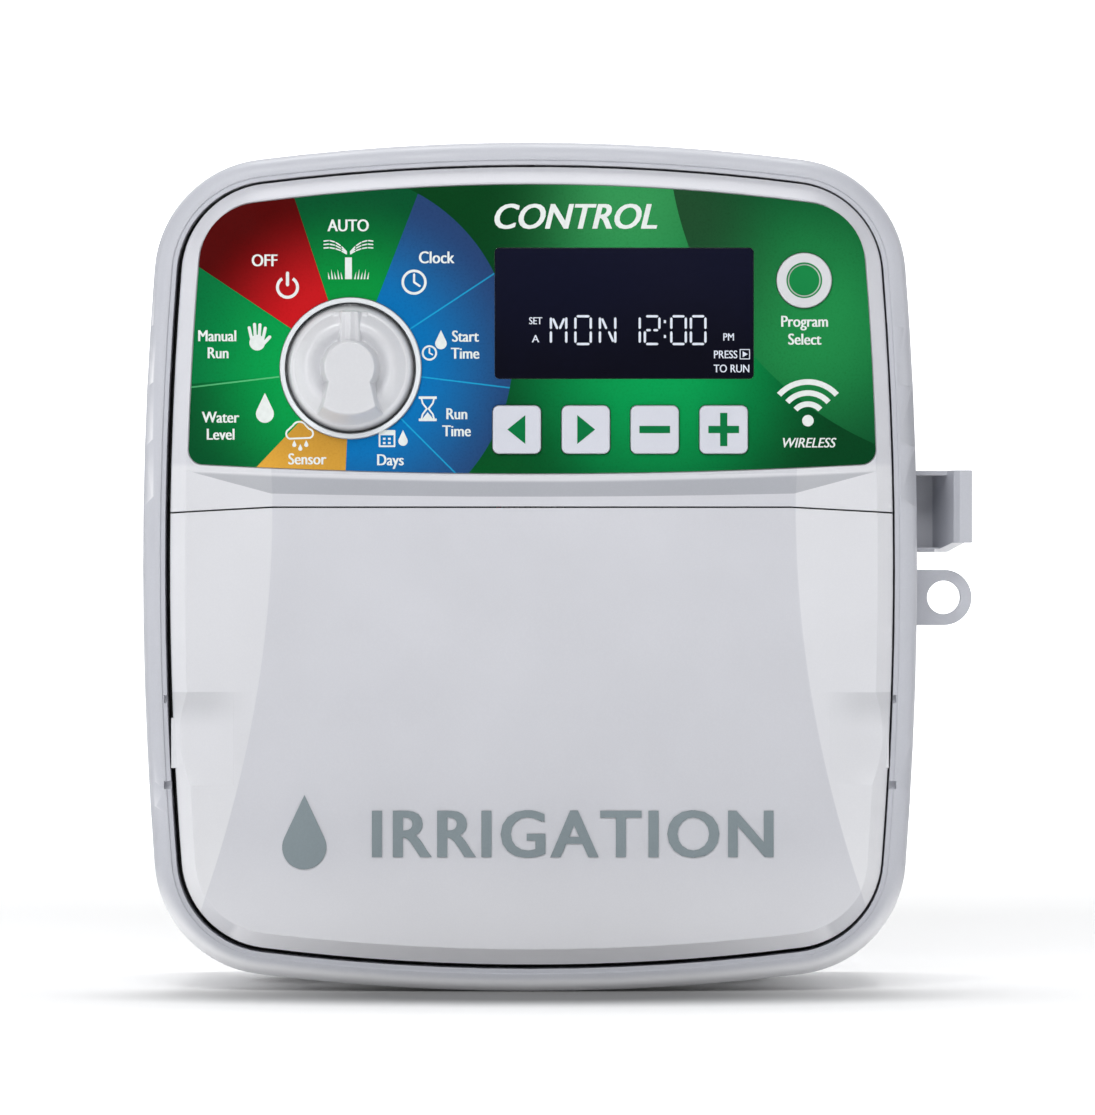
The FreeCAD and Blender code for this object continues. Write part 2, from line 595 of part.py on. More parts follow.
def sunken_middle():
    """The space in front of the sunken middle, which both panels are cut by."""
    wedge = new_body("facet_wedge")
    section = sketch_on(wedge, "XY_Plane", "-half_height - 10")
    rise = "sink_depth / (facet_edge - crease_half)"
    polygon(section, [("facet_x", f"-(face_out - facet_edge * {rise})"),
                      ("facet_x + panel_reach", f"-(face_out + (panel_reach - facet_edge) * {rise})"),
                      ("facet_x + panel_reach", "-(face_out + 20)"),
                      ("facet_x - panel_reach", "-(face_out + 20)"),
                      ("facet_x - panel_reach", f"-(face_out + (panel_reach - facet_edge) * {rise})")])
    pad(wedge, section, "half_height + 50")

    bowl = doc.addObject("Part::Cylinder", "bowl")
    bowl.Placement.Rotation = FreeCAD.Rotation(FreeCAD.Vector(0, 1, 0), 90)
    bind(bowl, "Radius", "bowl_radius")
    bind(bowl, "Height", "2 * panel_reach")
    bind(bowl, "Placement.Base.x", "-panel_reach")
    bind(bowl, "Placement.Base.y", "-(face_out - sink_depth + bowl_radius)")
    bind(bowl, "Placement.Base.z", "parting_z")

    ledge = new_body("ledge_slope")
    sections = []
    for level in ("2", "-4"):
        section = sketch_on(ledge, "XZ_Plane", f"face_out + {level}")
        slope_section(section, f"slope_z + ({level}) * slope_run")
        sections.append(section)
    loft(ledge, sections)
    return joined([wedge, bowl, ledge], "Part::MultiCommon")


def slope_section(sketch, top):
    """Everything below a top edge that is lowest at its middle: an arc and three lines."""
    reach = value("panel_reach")
    radius = value("slope_bow")
    middle = value("facet_x")
    centre = FreeCAD.Vector(middle, value(top) + radius, 0)
    swing = math.asin(reach / radius)
    ring = Part.Circle(centre, FreeCAD.Vector(0, 0, 1), radius)
    arc = Part.ArcOfCircle(ring, 1.5 * math.pi - swing, 1.5 * math.pi + swing)
    left, right = arc.StartPoint, arc.EndPoint
    low = -value("half_height") - 10
    low_right = FreeCAD.Vector(right.x, low, 0)
    low_left = FreeCAD.Vector(left.x, low, 0)
    sketch.addGeometry(arc)
    for start, end in ((right, low_right), (low_right, low_left), (low_left, left)):
        sketch.addGeometry(Part.LineSegment(start, end))
    for item, point, following, at in ((0, 2, 1, 1), (1, 2, 2, 1), (2, 2, 3, 1), (3, 2, 0, 1)):
        sketch.addConstraint(Sketcher.Constraint("Coincident", item, point, following, at))
    drive(sketch, "Radius", 0, by="slope_bow")
    pin(sketch, 0, 3, "facet_x", f"{top} + slope_bow")
    pin(sketch, 2, 1, "facet_x + panel_reach", "-half_height - 10")
    pin(sketch, 2, 2, "facet_x - panel_reach", "-half_height - 10")
    sketch.addConstraint(Sketcher.Constraint("Vertical", 1))
    sketch.addConstraint(Sketcher.Constraint("Vertical", 3))


def film_outline(sketch, grow):
    """The overlay film's edge, grown by a clearance."""
    eight_arcs(sketch, "film_x", f"film_half + {grow}", f"film_side_radius + {grow}",
               f"film_top + {grow}", f"film_top_radius + {grow}", f"film_low - {grow}",
               f"film_low_radius + {grow}", f"film_top_corner + {grow}",
               f"film_low_corner + {grow}")


def key_places():
    """The centre of each square key, from left to right."""
    return [(f"key_start + {step} * key_pitch", "key_z") for step in range(len(KEY_NAMES))]


def make_fascia(middle):
    body = panel_shell("fascia_shell", "(face_out - face_wall)")
    ledge = sketch_on(body, "XZ_Plane", "foot_out")
    polygon(ledge, parting_line("ledge_half", "0")
            + [("ledge_half", "ledge_top"), ("-ledge_half", "ledge_top")])
    pad(body, ledge, "ledge_back_out - foot_out")
    cut_at_parting(body, True, "0")
    bosses = sketch_on(body, "XZ_Plane", "foot_out")
    for across, up in FASCIA_SCREWS:
        circle(bosses, across, up, "fascia_boss")
    pad(body, bosses, "ledge_back_out - foot_out")
    cup = sketch_on(body, "XZ_Plane", "cup_back")
    circle(cup, "dial_x", "dial_z", "cup_outer")
    pad(body, cup, "face_out - cup_back - 0.1")
    ring = sketch_on(body, "XZ_Plane", "face_out - 1")
    circle(ring, "dial_x", "dial_z", "ring_radius")
    pad(body, ring, "ring_out - face_out + 1")
    boss = sketch_on(body, "XZ_Plane", "boss_back")
    circle(boss, "dial_x", "dial_z", "boss_radius")
    pad(body, boss, "cup_floor - boss_back - 0.1")
    bowl = sketch_on(body, "XZ_Plane", "ring_out + 1")
    circle(bowl, "dial_x", "dial_z", "cup_radius")
    pocket(body, bowl, "ring_out + 1 - cup_floor")
    bore = sketch_on(body, "XZ_Plane", "ring_out")
    circle(bore, "dial_x", "dial_z", "shaft_radius + shaft_clearance")
    pocket(body, bore, "ring_out - foot_out")

    holes = sketch_on(body, "XZ_Plane", "face_out + 1")
    for across, up in key_places():
        side = "key_side + 2 * key_clearance"
        rounded_rectangle(holes, across, up, side, side, "key_corner + key_clearance")
    circle(holes, "program_x", "program_z", "program_radius + key_clearance")
    rounded_rectangle(holes, "lcd_x", "lcd_z", "window_width + 2 * window_gap",
                      "window_height + 2 * window_gap", "window_corner + window_gap")
    pocket(body, holes, "face_wall + 2")
    recess = sketch_on(body, "XZ_Plane", "face_out")
    film_outline(recess, "film_gap")
    circle(recess, "dial_x", "dial_z", "ring_radius")
    pocket(body, recess, "film_recess")
    pilots = sketch_on(body, "XZ_Plane", "foot_out")
    for across, up in FASCIA_SCREWS:
        circle(pilots, across, up, "fascia_hole")
    pocket(body, pilots, "fascia_hole_out - foot_out", forward=True)
    finished(cut(body, middle), "fascia")


def make_cover(middle):
    body = panel_shell("cover_shell", "cover_hollow_out")
    top_wall = sketch_on(body, "XZ_Plane", "foot_out")
    upper = parting_line("ledge_half", "parting_gap")
    lower = parting_line("ledge_half", "(parting_gap + cover_top_wall)")
    polygon(top_wall, upper + lower[::-1])
    pad(body, top_wall, "cover_hollow_out - foot_out + 0.5")
    cut_at_parting(body, False, "parting_gap")
    for side in ("-1", "1"):
        sections = []
        for distance, depth in (("scoop_start", "scoop_shallow"), ("scoop_end", "scoop_deep")):
            section = sketch_on(body, "YZ_Plane", f"{side} * {distance}")
            scoop_section(section, distance, depth)
            sections.append(section)
        loft(body, sections, "PartDesign::SubtractiveLoft")
    tabs = sketch_on(body, "XZ_Plane", "tab_back")
    for side in ("-1", "1"):
        near = f"{side} * (ledge_half - 0.6)"
        rectangle(tabs, near, "tab_low", f"{side} * tab_reach - shift_x", "tab_top")
    pad(body, tabs, "tab_front - tab_back")
    finished(cut(body, middle), "wiring_cover")


def scoop_section(sketch, distance, depth):
    """One end of a finger scoop: a shallow arc set in the side facet, open to the front."""
    rise = "sink_depth / (facet_edge - crease_half)"
    level = f"-(face_out + ({distance} - facet_edge) * {rise})"
    half = "(scoop_top - scoop_low) / 2"
    radius = f"(({half}) * ({half}) + {depth} * {depth}) / (2 * {depth})"
    middle_z = value("(scoop_top + scoop_low) / 2")
    low = FreeCAD.Vector(value(level), value("scoop_low"), 0)
    high = FreeCAD.Vector(value(level), value("scoop_top"), 0)
    deepest = FreeCAD.Vector(value(level) + value(depth), middle_z, 0)
    sketch.addGeometry(Part.Arc(low, deepest, high))
    front = FreeCAD.Vector(-8, 0, 0)
    for start, end in ((high, high + front), (high + front, low + front), (low + front, low)):
        sketch.addGeometry(Part.LineSegment(start, end))
    for item, point, following, at in ((0, 2, 1, 1), (1, 2, 2, 1), (2, 2, 3, 1), (3, 2, 0, 1)):
        sketch.addConstraint(Sketcher.Constraint("Coincident", item, point, following, at))
    drive(sketch, "Radius", 0, by=radius)
    pin(sketch, 1, 1, level, "scoop_top")
    pin(sketch, 3, 2, level, "scoop_low")
    pin(sketch, 2, 1, f"{level} - 8", "scoop_top")
    pin(sketch, 2, 2, f"{level} - 8", "scoop_low")


def make_film():
    body = new_body("overlay_film")
    bind(body, "Placement.Base.x", "shift_x")
    bind(body, "Placement.Base.z", "shift_z")
    sheet_face = sketch_on(body, "XZ_Plane", "face_out - film_recess")
    film_outline(sheet_face, "0")
    circle(sheet_face, "dial_x", "dial_z", "ring_radius + film_gap")
    for across, up in key_places():
        side = "key_side + 2 * key_clearance"
        rounded_rectangle(sheet_face, across, up, side, side, "key_corner + key_clearance")
    circle(sheet_face, "program_x", "program_z", "program_radius + key_clearance")
    rounded_rectangle(sheet_face, "lcd_x", "lcd_z", "window_width + 2 * window_gap",
                      "window_height + 2 * window_gap", "window_corner + window_gap")
    pad(body, sheet_face, "film_thick")
    finished(body, "overlay_film")


# ---------------------------------------------------------------- dial


def make_dial():
    knob = new_body("dial_knob")
    bind(knob, "Placement.Base.x", "dial_x + shift_x")
    bind(knob, "Placement.Base.z", "dial_z + shift_z")
    profile = sketch_on(knob, "XY_Plane", "0")
    polygon(profile, [("0", "-knob_back"), ("knob_radius", "-knob_back"),
                      ("knob_radius", "-knob_side_out"), ("crown_radius + 0.5", "-crown_out"),
                      ("crown_radius - 0.5", "-crown_out"), ("scoop_radius", "-scoop_out"),
                      ("0", "-scoop_out")])
    turn = knob.newObject("PartDesign::Revolution", "Turn")
    turn.Profile = profile
    turn.ReferenceAxis = (profile, ["V_Axis"])
    turn.Angle = 360
    settle(knob, turn, True)
    hub = sketch_on(knob, "XZ_Plane", "knob_side_out")
    circle(hub, "0", "0", "hub_radius")
    pad(knob, hub, "grip_out - knob_side_out")
    handle = sketch_on(knob, "XZ_Plane", "knob_side_out")
    polygon(handle, [("-grip_top_width / 2", "0"), ("-grip_low_width / 2", "grip_low"),
                     ("grip_low_width / 2", "grip_low"), ("grip_top_width / 2", "0")])
    pad(knob, handle, "grip_out - knob_side_out")
    pointer = sketch_on(knob, "XZ_Plane", "knob_back + 1")
    polygon(pointer, [("-pointer_width / 2", "0"), ("pointer_width / 2", "0"),
                      ("pointer_width / 2 - 0.5", "pointer_top"),
                      ("0.5 - pointer_width / 2", "pointer_top")])
    pad(knob, pointer, "crown_out + 1 - knob_back - 1")
    groove = sketch_on(knob, "XZ_Plane", "crown_out + 1")
    rectangle(groove, "-pointer_groove / 2", "hub_radius + 1", "pointer_groove / 2",
              "pointer_top - 1.5")
    pocket(knob, groove, "groove_depth")
    top = value("grip_out")
    blend_edges(knob, "Fillet", "0.6", lambda edge: lies_at_out(edge, top))
    socket = sketch_on(knob, "XZ_Plane", "knob_back")
    circle(socket, "0", "0", "shaft_radius")
    pocket(knob, socket, "shaft_front - knob_back", forward=True)
    finished(knob, "dial_knob")

    across = "dial_x + shift_x"
    up = "dial_z + shift_z"
    finished(rod(across, up, "shaft_back", "shaft_front", "shaft_radius", "Shaft"), "dial_shaft")
    wheel = new_body("detent_wheel")
    bind(wheel, "Placement.Base.x", across)
    bind(wheel, "Placement.Base.z", up)
    disc = sketch_on(wheel, "XZ_Plane", "wheel_back")
    circle(disc, "0", "0", "wheel_radius")
    circle(disc, "0", "0", "shaft_radius")
    pad(wheel, disc, "wheel_front - wheel_back")
    bite = sketch_on(wheel, "XZ_Plane", "wheel_front")
    circle(bite, "wheel_radius + 0.15", "0", "notch_radius")
    notch = pocket(wheel, bite, "wheel_front - wheel_back")
    ring_of_notches = wheel.newObject("PartDesign::PolarPattern", "Notches")
    ring_of_notches.Originals = [notch]
    ring_of_notches.Axis = (bite, ["N_Axis"])
    ring_of_notches.Angle = 360
    bind(ring_of_notches, "Occurrences", "notches")
    wheel.Tip = ring_of_notches
    doc.recompute()
    finished(wheel, "detent_wheel")
    wiper = new_body("dial_wiper")
    bind(wiper, "Placement.Base.x", across)
    bind(wiper, "Placement.Base.z", up)
    disc = sketch_on(wiper, "XZ_Plane", "wiper_back")
    circle(disc, "0", "0", "wiper_radius")
    circle(disc, "0", "0", "shaft_radius")
    pad(wiper, disc, "wiper_front - wiper_back")
    finished(wiper, "dial_wiper")

    contacts = []
    for step in range(SIZES["notches"]):
        turn = f"{360 / SIZES['notches'] * step} deg"
        contacts.append(rod(f"{across} + pad_ring * sin({turn})", f"{up} + pad_ring * cos({turn})",
                            "board_front", "board_front + contact_thick", "contact_radius"))
    group(contacts, "dial_contacts")
    post = rod(f"{across} + detent_post", up, "board_front", "wheel_front + 0.5",
               "detent_post_radius")
    arm = block(f"{across} + detent_gap", f"{across} + detent_post", "wheel_back + 0.4",
                "wheel_front - 0.4", f"{up} - 0.6", f"{up} + 0.6")
    finished(joined([post, arm]), "detent_spring")


# ---------------------------------------------------------------- keys


def make_keys():
    domes = []
    for label, (across, up) in zip(KEY_NAMES, key_places()):
        body = key_body(label, across, up)
        cap = sketch_on(body, "XZ_Plane", "flange_back")
        rounded_rectangle(cap, "0", "0", "key_side", "key_side", "key_corner")
        pad(body, cap, "key_front - flange_back")
        flange = sketch_on(body, "XZ_Plane", "flange_back")
        wide = "key_side + 2 * key_flange"
        rounded_rectangle(flange, "0", "0", wide, wide, "key_corner")
        pad(body, flange, "flange_front - flange_back")
        add_stem(body)
        finished(body, label)
        domes.append(key_dome(across, up))
    body = key_body("key_program", "program_x", "program_z")
    cap = sketch_on(body, "XZ_Plane", "flange_back")
    circle(cap, "0", "0", "program_radius")
    pad(body, cap, "key_front - flange_back")
    flange = sketch_on(body, "XZ_Plane", "flange_back")
    circle(flange, "0", "0", "program_radius + key_flange")
    pad(body, flange, "flange_front - flange_back")
    add_stem(body)
    dish = sketch_on(body, "XZ_Plane", "key_front")
    circle(dish, "0", "0", "program_dish")
    pocket(body, dish, "program_dish_depth")
    finished(body, "key_program")
    domes.append(key_dome("program_x", "program_z"))
    group(domes, "key_domes")


def key_body(label, across, up):
    body = new_body(label)
    bind(body, "Placement.Base.x", f"{across} + shift_x")
    bind(body, "Placement.Base.z", f"{up} + shift_z")
    return body


def add_stem(body):
    """The stem that closes the key's contact, and a soft edge round the cap."""
    stem = sketch_on(body, "XZ_Plane", "stem_back")
    circle(stem, "0", "0", "stem_radius")
    pad(body, stem, "flange_back - stem_back + 0.1")
    blend_edges(body, "Fillet", "0.45", lambda edge: lies_at_out(edge, value("key_front")))


def key_dome(across, up):
    """The snap dome on the board under a key."""
    return rod(f"{across} + shift_x", f"{up} + shift_z", "board_front",
               "board_front + dome_height", "dome_radius")


# ---------------------------------------------------------------- display


def make_display():
    window = new_body("lcd_window")
    bind(window, "Placement.Base.x", "shift_x")
    bind(window, "Placement.Base.z", "shift_z")
    pane = sketch_on(window, "XZ_Plane", "window_back")
    rounded_rectangle(pane, "lcd_x", "lcd_z", "window_width", "window_height", "window_corner")
    pad(window, pane, "window_front - window_back")
    finished(window, "lcd_window")

    frame = new_body("lcd_frame")
    bind(frame, "Placement.Base.x", "shift_x")
    bind(frame, "Placement.Base.z", "shift_z")
    border = sketch_on(frame, "XZ_Plane", "board_front")
    rounded_rectangle(border, "lcd_x", "lcd_z", "frame_width", "frame_height", "window_corner")
    rounded_rectangle(border, "lcd_x", "lcd_z", "glass_width + 0.4", "glass_height + 0.4", "0.5")
    pad(frame, border, "frame_front - board_front")
    finished(frame, "lcd_frame")

    across = "lcd_x + shift_x"
    up = "lcd_z + shift_z"
    sides = (f"{across} - glass_width / 2", f"{across} + glass_width / 2")
    glass = block(*sides, "glass_back", "glass_front", f"{up} - glass_height / 2",
                  f"{up} + glass_height / 2")
    finished(glass, "lcd_glass")
    light = block(*sides, "backlight_back", "glass_back", f"{up} - backlight_height / 2",
                  f"{up} + backlight_height / 2")
    finished(light, "lcd_backlight")
    strips = []
    for low in (f"{up} - glass_height / 2", f"{up} + glass_height / 2 - strip_height"):
        strips.append(block(*sides, "board_front", "glass_back", low, f"{low} + strip_height"))
    group(strips, "lcd_contact_strips")


# ---------------------------------------------------------------- control board


def make_board():
    body = new_body("control_board")
    sheet_face = sketch_on(body, "XZ_Plane", "board_back")
    rectangle(sheet_face, "board_left", "board_low", "board_right", "board_high")
    for across in ("-board_screw_x", "board_screw_x"):
        for up in ("board_screw_low", "board_screw_high"):
            circle(sheet_face, across, up, "pilot_radius + 0.3")
    pad(body, sheet_face, "board_front - board_back")
    finished(body, "control_board")

    chip = block("chip_left", "chip_right", "board_back - chip_thick", "board_back", "chip_low",
                 "chip_high", "Chip")
    finished(chip, "microcontroller")
    driver = block("driver_left", "driver_right", "board_back - driver_thick", "board_back",
                   "driver_low", "driver_high", "Chip")
    finished(driver, "display_driver")
    cans = []
    for across, radius in (("-60", "can_radius"), ("-50", "can_radius"),
                           ("-41.5", "small_can_radius")):
        cans.append(rod(across, "can_z", "board_back - can_tall", "board_back", radius))
    group(cans, "capacitors")
    screws = []
    for across in ("-board_screw_x", "board_screw_x"):
        for up in ("board_screw_low", "board_screw_high"):
            screws.append(screw(across, up, "board_back - 6", "board_front", "pilot_radius - 0.05",
                                "2.3", "1.6"))
    group(screws, "board_screws")


# ---------------------------------------------------------------- chassis tray


def make_tray():
    body = new_body("chassis_tray")
    tub = sketch_on(body, "XZ_Plane", "tray_back")
    outline(tub, "opening_inset + tray_gap")
    pad(body, tub, "foot_out - tray_back")
    inside = sketch_on(body, "XZ_Plane", "foot_out")
    outline(inside, "tray_wall_inset")
    pocket(body, inside, "foot_out - tray_floor")
    bar = sketch_on(body, "XZ_Plane", "tray_floor - 0.5")
    rectangle(bar, "-ledge_half - 0.4", "tray_bar_low", "ledge_half + 0.4", "tray_bar_high")
    pad(body, bar, "foot_out - tray_floor + 0.5")
    ribbon_room = sketch_on(body, "XZ_Plane", "foot_out")
    rectangle(ribbon_room, "-ribbon_half - ribbon_room", "tray_bar_low - 1",
              "ribbon_half + ribbon_room", "tray_bar_high + 1")
    pocket(body, ribbon_room, "foot_out - ribbon_back + ribbon_room")

    posts = sketch_on(body, "XZ_Plane", "tray_floor - 0.5")
    clear_holes = sketch_on(body, "XZ_Plane", "foot_out")
    for across, up in FASCIA_SCREWS:
        circle(posts, f"{across} + shift_x", f"{up} + shift_z", "tray_post_radius")
        circle(clear_holes, f"{across} + shift_x", f"{up} + shift_z", "tray_hole")
    pad(body, posts, "foot_out - tray_floor + 0.5")
    pocket(body, clear_holes, "foot_out - tray_back")
    standoffs = sketch_on(body, "XZ_Plane", "tray_floor - 0.5")
    pilots = sketch_on(body, "XZ_Plane", "board_back")
    for across in ("-board_screw_x", "board_screw_x"):
        for up in ("board_screw_low", "board_screw_high"):
            circle(standoffs, across, up, "standoff_radius")
            circle(pilots, across, up, "pilot_radius")
    pad(body, standoffs, "board_back - tray_floor + 0.5")
    pocket(body, pilots, "7")
    rests = sketch_on(body, "XZ_Plane", "tray_floor - 0.5")
    for across, up in DECK_SCREWS:
        circle(rests, across, up, "standoff_radius")
    pad(body, rests, "deck_back - tray_floor + 0.5")

    openings = sketch_on(body, "XZ_Plane", "tray_floor")
    rounded_rectangle(openings, "(mains_window_left + mains_window_right) / 2",
                      "(mains_window_low + mains_window_high) / 2",
                      "mains_window_right - mains_window_left",
                      "mains_window_high - mains_window_low", "3")
    rounded_rectangle(openings, "(wire_window_left + wire_window_right) / 2",
                      "(wire_window_low + wire_window_high) / 2",
                      "wire_window_right - wire_window_left",
                      "wire_window_high - wire_window_low", "6")
    rectangle(openings, "plug_left", "plug_low", "plug_right", "plug_high")
    for across, up in POST_PLACES:
        circle(openings, across, up, "tray_hole")
    circle(openings, "lid_screw_x", "lid_screw_z", "post_hole")
    for across, up in DECK_SCREWS:
        circle(openings, across, up, "pilot_radius")
    pocket(body, openings, "tray_floor - tray_back + 1")
    deck_pilots = sketch_on(body, "XZ_Plane", "deck_back")
    for across, up in DECK_SCREWS:
        circle(deck_pilots, across, up, "pilot_radius")
    pocket(body, deck_pilots, "deck_back - tray_floor + 0.5")
    finished(body, "chassis_tray")

    group([screw(across, up, "tray_floor - 15", "tray_floor", "post_hole - 0.05", "3.2", "2.2")
           for across, up in POST_PLACES], "chassis_screws")
    screws = []
    for across, up in FASCIA_SCREWS:
        across = f"{across} + shift_x"
        up = f"{up} + shift_z"
        stem = rod(across, up, "tray_back", "fascia_hole_out - 1", "fascia_hole - 0.05")
        head = rod(across, up, "tray_back - 1.8", "tray_back", "2.8")
        screws.append(joined([stem, head]))
    group(screws, "fascia_screws")


# ---------------------------------------------------------------- terminal deck


DECK_SCREWS = [("-53", "-37"), ("63", "-37"), ("-53", "-9"), ("63", "-9")]


def make_deck():
    body = new_body("terminal_board")
    sheet_face = sketch_on(body, "XZ_Plane", "deck_back")
    rectangle(sheet_face, "deck_left", "deck_low", "deck_right", "deck_high")
    for across, up in DECK_SCREWS:
        circle(sheet_face, across, up, "pilot_radius + 0.2")
    pad(body, sheet_face, "deck_front - deck_back")
    finished(body, "terminal_board")
    group([screw(across, up, "deck_back - 4", "deck_front", "pilot_radius - 0.05", "2.1", "1.5")
           for across, up in DECK_SCREWS], "terminal_board_screws")

    strip = new_body("terminal_block")
    section = sketch_on(strip, "XZ_Plane", "deck_front")
    rectangle(section, "strip_left", "strip_low", "strip_left + strip_ways * strip_pitch",
              "strip_high")
    pad(strip, section, "strip_front - deck_front")
    first = "strip_left + strip_pitch / 2"
    wires = sketch_on(strip, "XY_Plane", "strip_low")
    rectangle(wires, f"{first} - wire_hole / 2", "-wire_hole_out - wire_hole / 2",
              f"{first} + wire_hole / 2", "-wire_hole_out + wire_hole / 2")
    entry = pocket(strip, wires, "screw_well_z - strip_low + 3", forward=True)
    repeat(strip, entry, wires)
    wells = sketch_on(strip, "XZ_Plane", "strip_front")
    circle(wells, first, "screw_well_z", "screw_well")
    well = pocket(strip, wells, "well_depth")
    repeat(strip, well, wells)
    finished(strip, "terminal_block")
    screws = []
    for way in range(SIZES["strip_ways"]):
        across = f"strip_left + ({way} + 0.5) * strip_pitch"
        head = rod(across, "screw_well_z", "strip_front - well_depth", "strip_front - 1.2",
                   "clamp_radius")
        slot = block(f"{across} - clamp_radius", f"{across} + clamp_radius", "strip_front - 2",
                     "strip_front", "screw_well_z - 0.3", "screw_well_z + 0.3")
        screws.append(cut(head, slot))
    group(screws, "terminal_screws")

    discs = []
    for step in range(6):
        left = f"disc_start + {step} * disc_pitch"
        disc = doc.addObject("Part::Cylinder", "Disc")
        disc.Placement.Rotation = FreeCAD.Rotation(FreeCAD.Vector(0, 1, 0), 90)
        bind(disc, "Placement.Base.x", left)
        bind(disc, "Placement.Base.y", "-(deck_front + disc_lift)")
        bind(disc, "Placement.Base.z", "disc_z")
        bind(disc, "Radius", "disc_radius")
        bind(disc, "Height", "disc_thick")
        discs.append(disc)
    group(discs, "surge_discs")

    shell = block("port_left", "port_right", "deck_front", "port_front", "port_low", "port_high")
    room = block("port_left + port_wall", "port_right - port_wall", "deck_front + port_wall",
                 "port_front + 1", "port_low + port_wall", "port_high - port_wall")
    finished(cut(shell, room), "accessory_port")
    pins = [rod(f"port_left + {step + 1} * pin_pitch", "(port_low + port_high) / 2",
                "deck_front + port_wall", "port_front - port_mouth", "pin_radius")
            for step in range(5)]
    group(pins, "port_pins")

    half = "reset_side / 2"
    base = block(f"reset_x - {half}", f"reset_x + {half}", "deck_front", "reset_front",
                 f"reset_z - {half}", f"reset_z + {half}")
    well = rod("reset_x", "reset_z", "reset_stem_back - reset_room", "reset_front + 1",
               "reset_radius + 0.05")
    finished(cut(base, well), "reset_switch")
    stem = rod("reset_x", "reset_z", "reset_stem_back", "reset_cap_front", "reset_radius")
    cap = rod("reset_x", "reset_z", "reset_front + reset_room", "reset_cap_front", "reset_cap")
    finished(joined([stem, cap]), "reset_button")


def repeat(body, feature, sketch):
    """Repeats a feature along the terminal strip, one per way."""
    row_of = body.newObject("PartDesign::LinearPattern", "Ways")
    row_of.Originals = [feature]
    row_of.Direction = (sketch, ["H_Axis"])
    bind(row_of, "Length", "(strip_ways - 1) * strip_pitch")
    bind(row_of, "Occurrences", "strip_ways")
    body.Tip = row_of
    doc.recompute()


def make_battery():
    base = block("cell_x - holder_half", "cell_x + holder_half", "tray_floor", "holder_front",
                 "cell_z - holder_half", "cell_z + holder_half")
    seat = rod("cell_x", "cell_z", "cell_back - leaf_thick", "holder_front + 1",
               "cell_radius + holder_gap")
    finished(cut(base, seat), "battery_holder")
    finished(rod("cell_x", "cell_z", "cell_back", "cell_back + cell_thick", "cell_radius",
                 "Cell"), "coin_cell")
    leaf = block("cell_x - 3", "cell_x + 3", "cell_back - leaf_thick", "cell_back", "cell_z - 6",
                 "cell_z + 6", "Leaf")
    finished(leaf, "battery_contact")


def make_ribbon():
    strip = block("-ribbon_half", "ribbon_half", "ribbon_back", "ribbon_front", "-8", "27",
                  "Ribbon")
    finished(strip, "ribbon_lead")
    upper = block("-ribbon_half - 1", "ribbon_half + 1", "ribbon_front", "board_back", "23", "29")
    lower = block("-ribbon_half - 1", "ribbon_half + 1", "deck_front", "ribbon_back", "-10", "-6.5")
    group([upper, lower], "ribbon_sockets")


# ---------------------------------------------------------------- transformer and mains


def make_transformer():
    left = "core_x - core_half_width"
    right = "core_x + core_half_width"
    low = "core_z - core_half_height"
    high = "core_z + core_half_height"
    stack = block(left, right, "core_back", "core_front", low, high)
    slots = []
    for near, far in (("-slot_half", "-leg_half"), ("leg_half", "slot_half")):
        slots.append(block(f"core_x + ({near})", f"core_x + ({far})", "core_back - 1",
                           "core_front + 1", "core_z - slot_height", "core_z + slot_height"))
    finished(cut(stack, joined(slots)), "transformer_core")
    wound = block("core_x - slot_half + coil_gap", "core_x + slot_half - coil_gap", "coil_back",
                  "coil_front", "core_z - slot_height + coil_gap", "core_z + slot_height - coil_gap")
    leg = block("core_x - leg_half - coil_gap", "core_x + leg_half + coil_gap",
                "core_back - coil_gap", "core_front + coil_gap", "core_z - slot_height",
                "core_z + slot_height")
    finished(cut(wound, leg), "transformer_coil")
    strap = []
    for side in ("-1", "1"):
        near = f"core_x + {side} * (core_half_width + 0.1)"
        far = f"core_x + {side} * (core_half_width + 0.1 + strap_thick)"
        reach = f"core_x + {side} * foot_reach"
        ends = (near, far) if side == "1" else (far, near)
        strap.append(block(*ends, "foot_out_low", "core_front + 0.1 + strap_thick",
                           "core_z - strap_high", "core_z + strap_high"))
        ends = (near, reach) if side == "1" else (reach, near)
        foot = block(*ends, "foot_out_low", "foot_out_low + strap_thick", "core_z - foot_half",
                     "core_z + foot_half")
        hole = rod(f"core_x + {side} * foot_screw", "core_z", "foot_out_low - 1",
                   "foot_out_low + strap_thick + 1", "tray_hole")
        strap.append(cut(foot, hole))
    for near, far in (("-strap_high", "-strap_low"), ("strap_low", "strap_high")):
        strap.append(block(f"{left} - 0.1 - strap_thick", f"{right} + 0.1 + strap_thick",
                           "core_front + 0.1", "core_front + 0.1 + strap_thick",
                           f"core_z + ({near})", f"core_z + ({far})"))
    finished(joined(strap), "transformer_strap")
    group([screw(f"core_x + {side} * foot_screw", "core_z", "back_wall + 0.6",
                 "foot_out_low + strap_thick", "post_hole - 0.05", "3.2", "2")
           for side in ("-1", "1")], "transformer_screws")


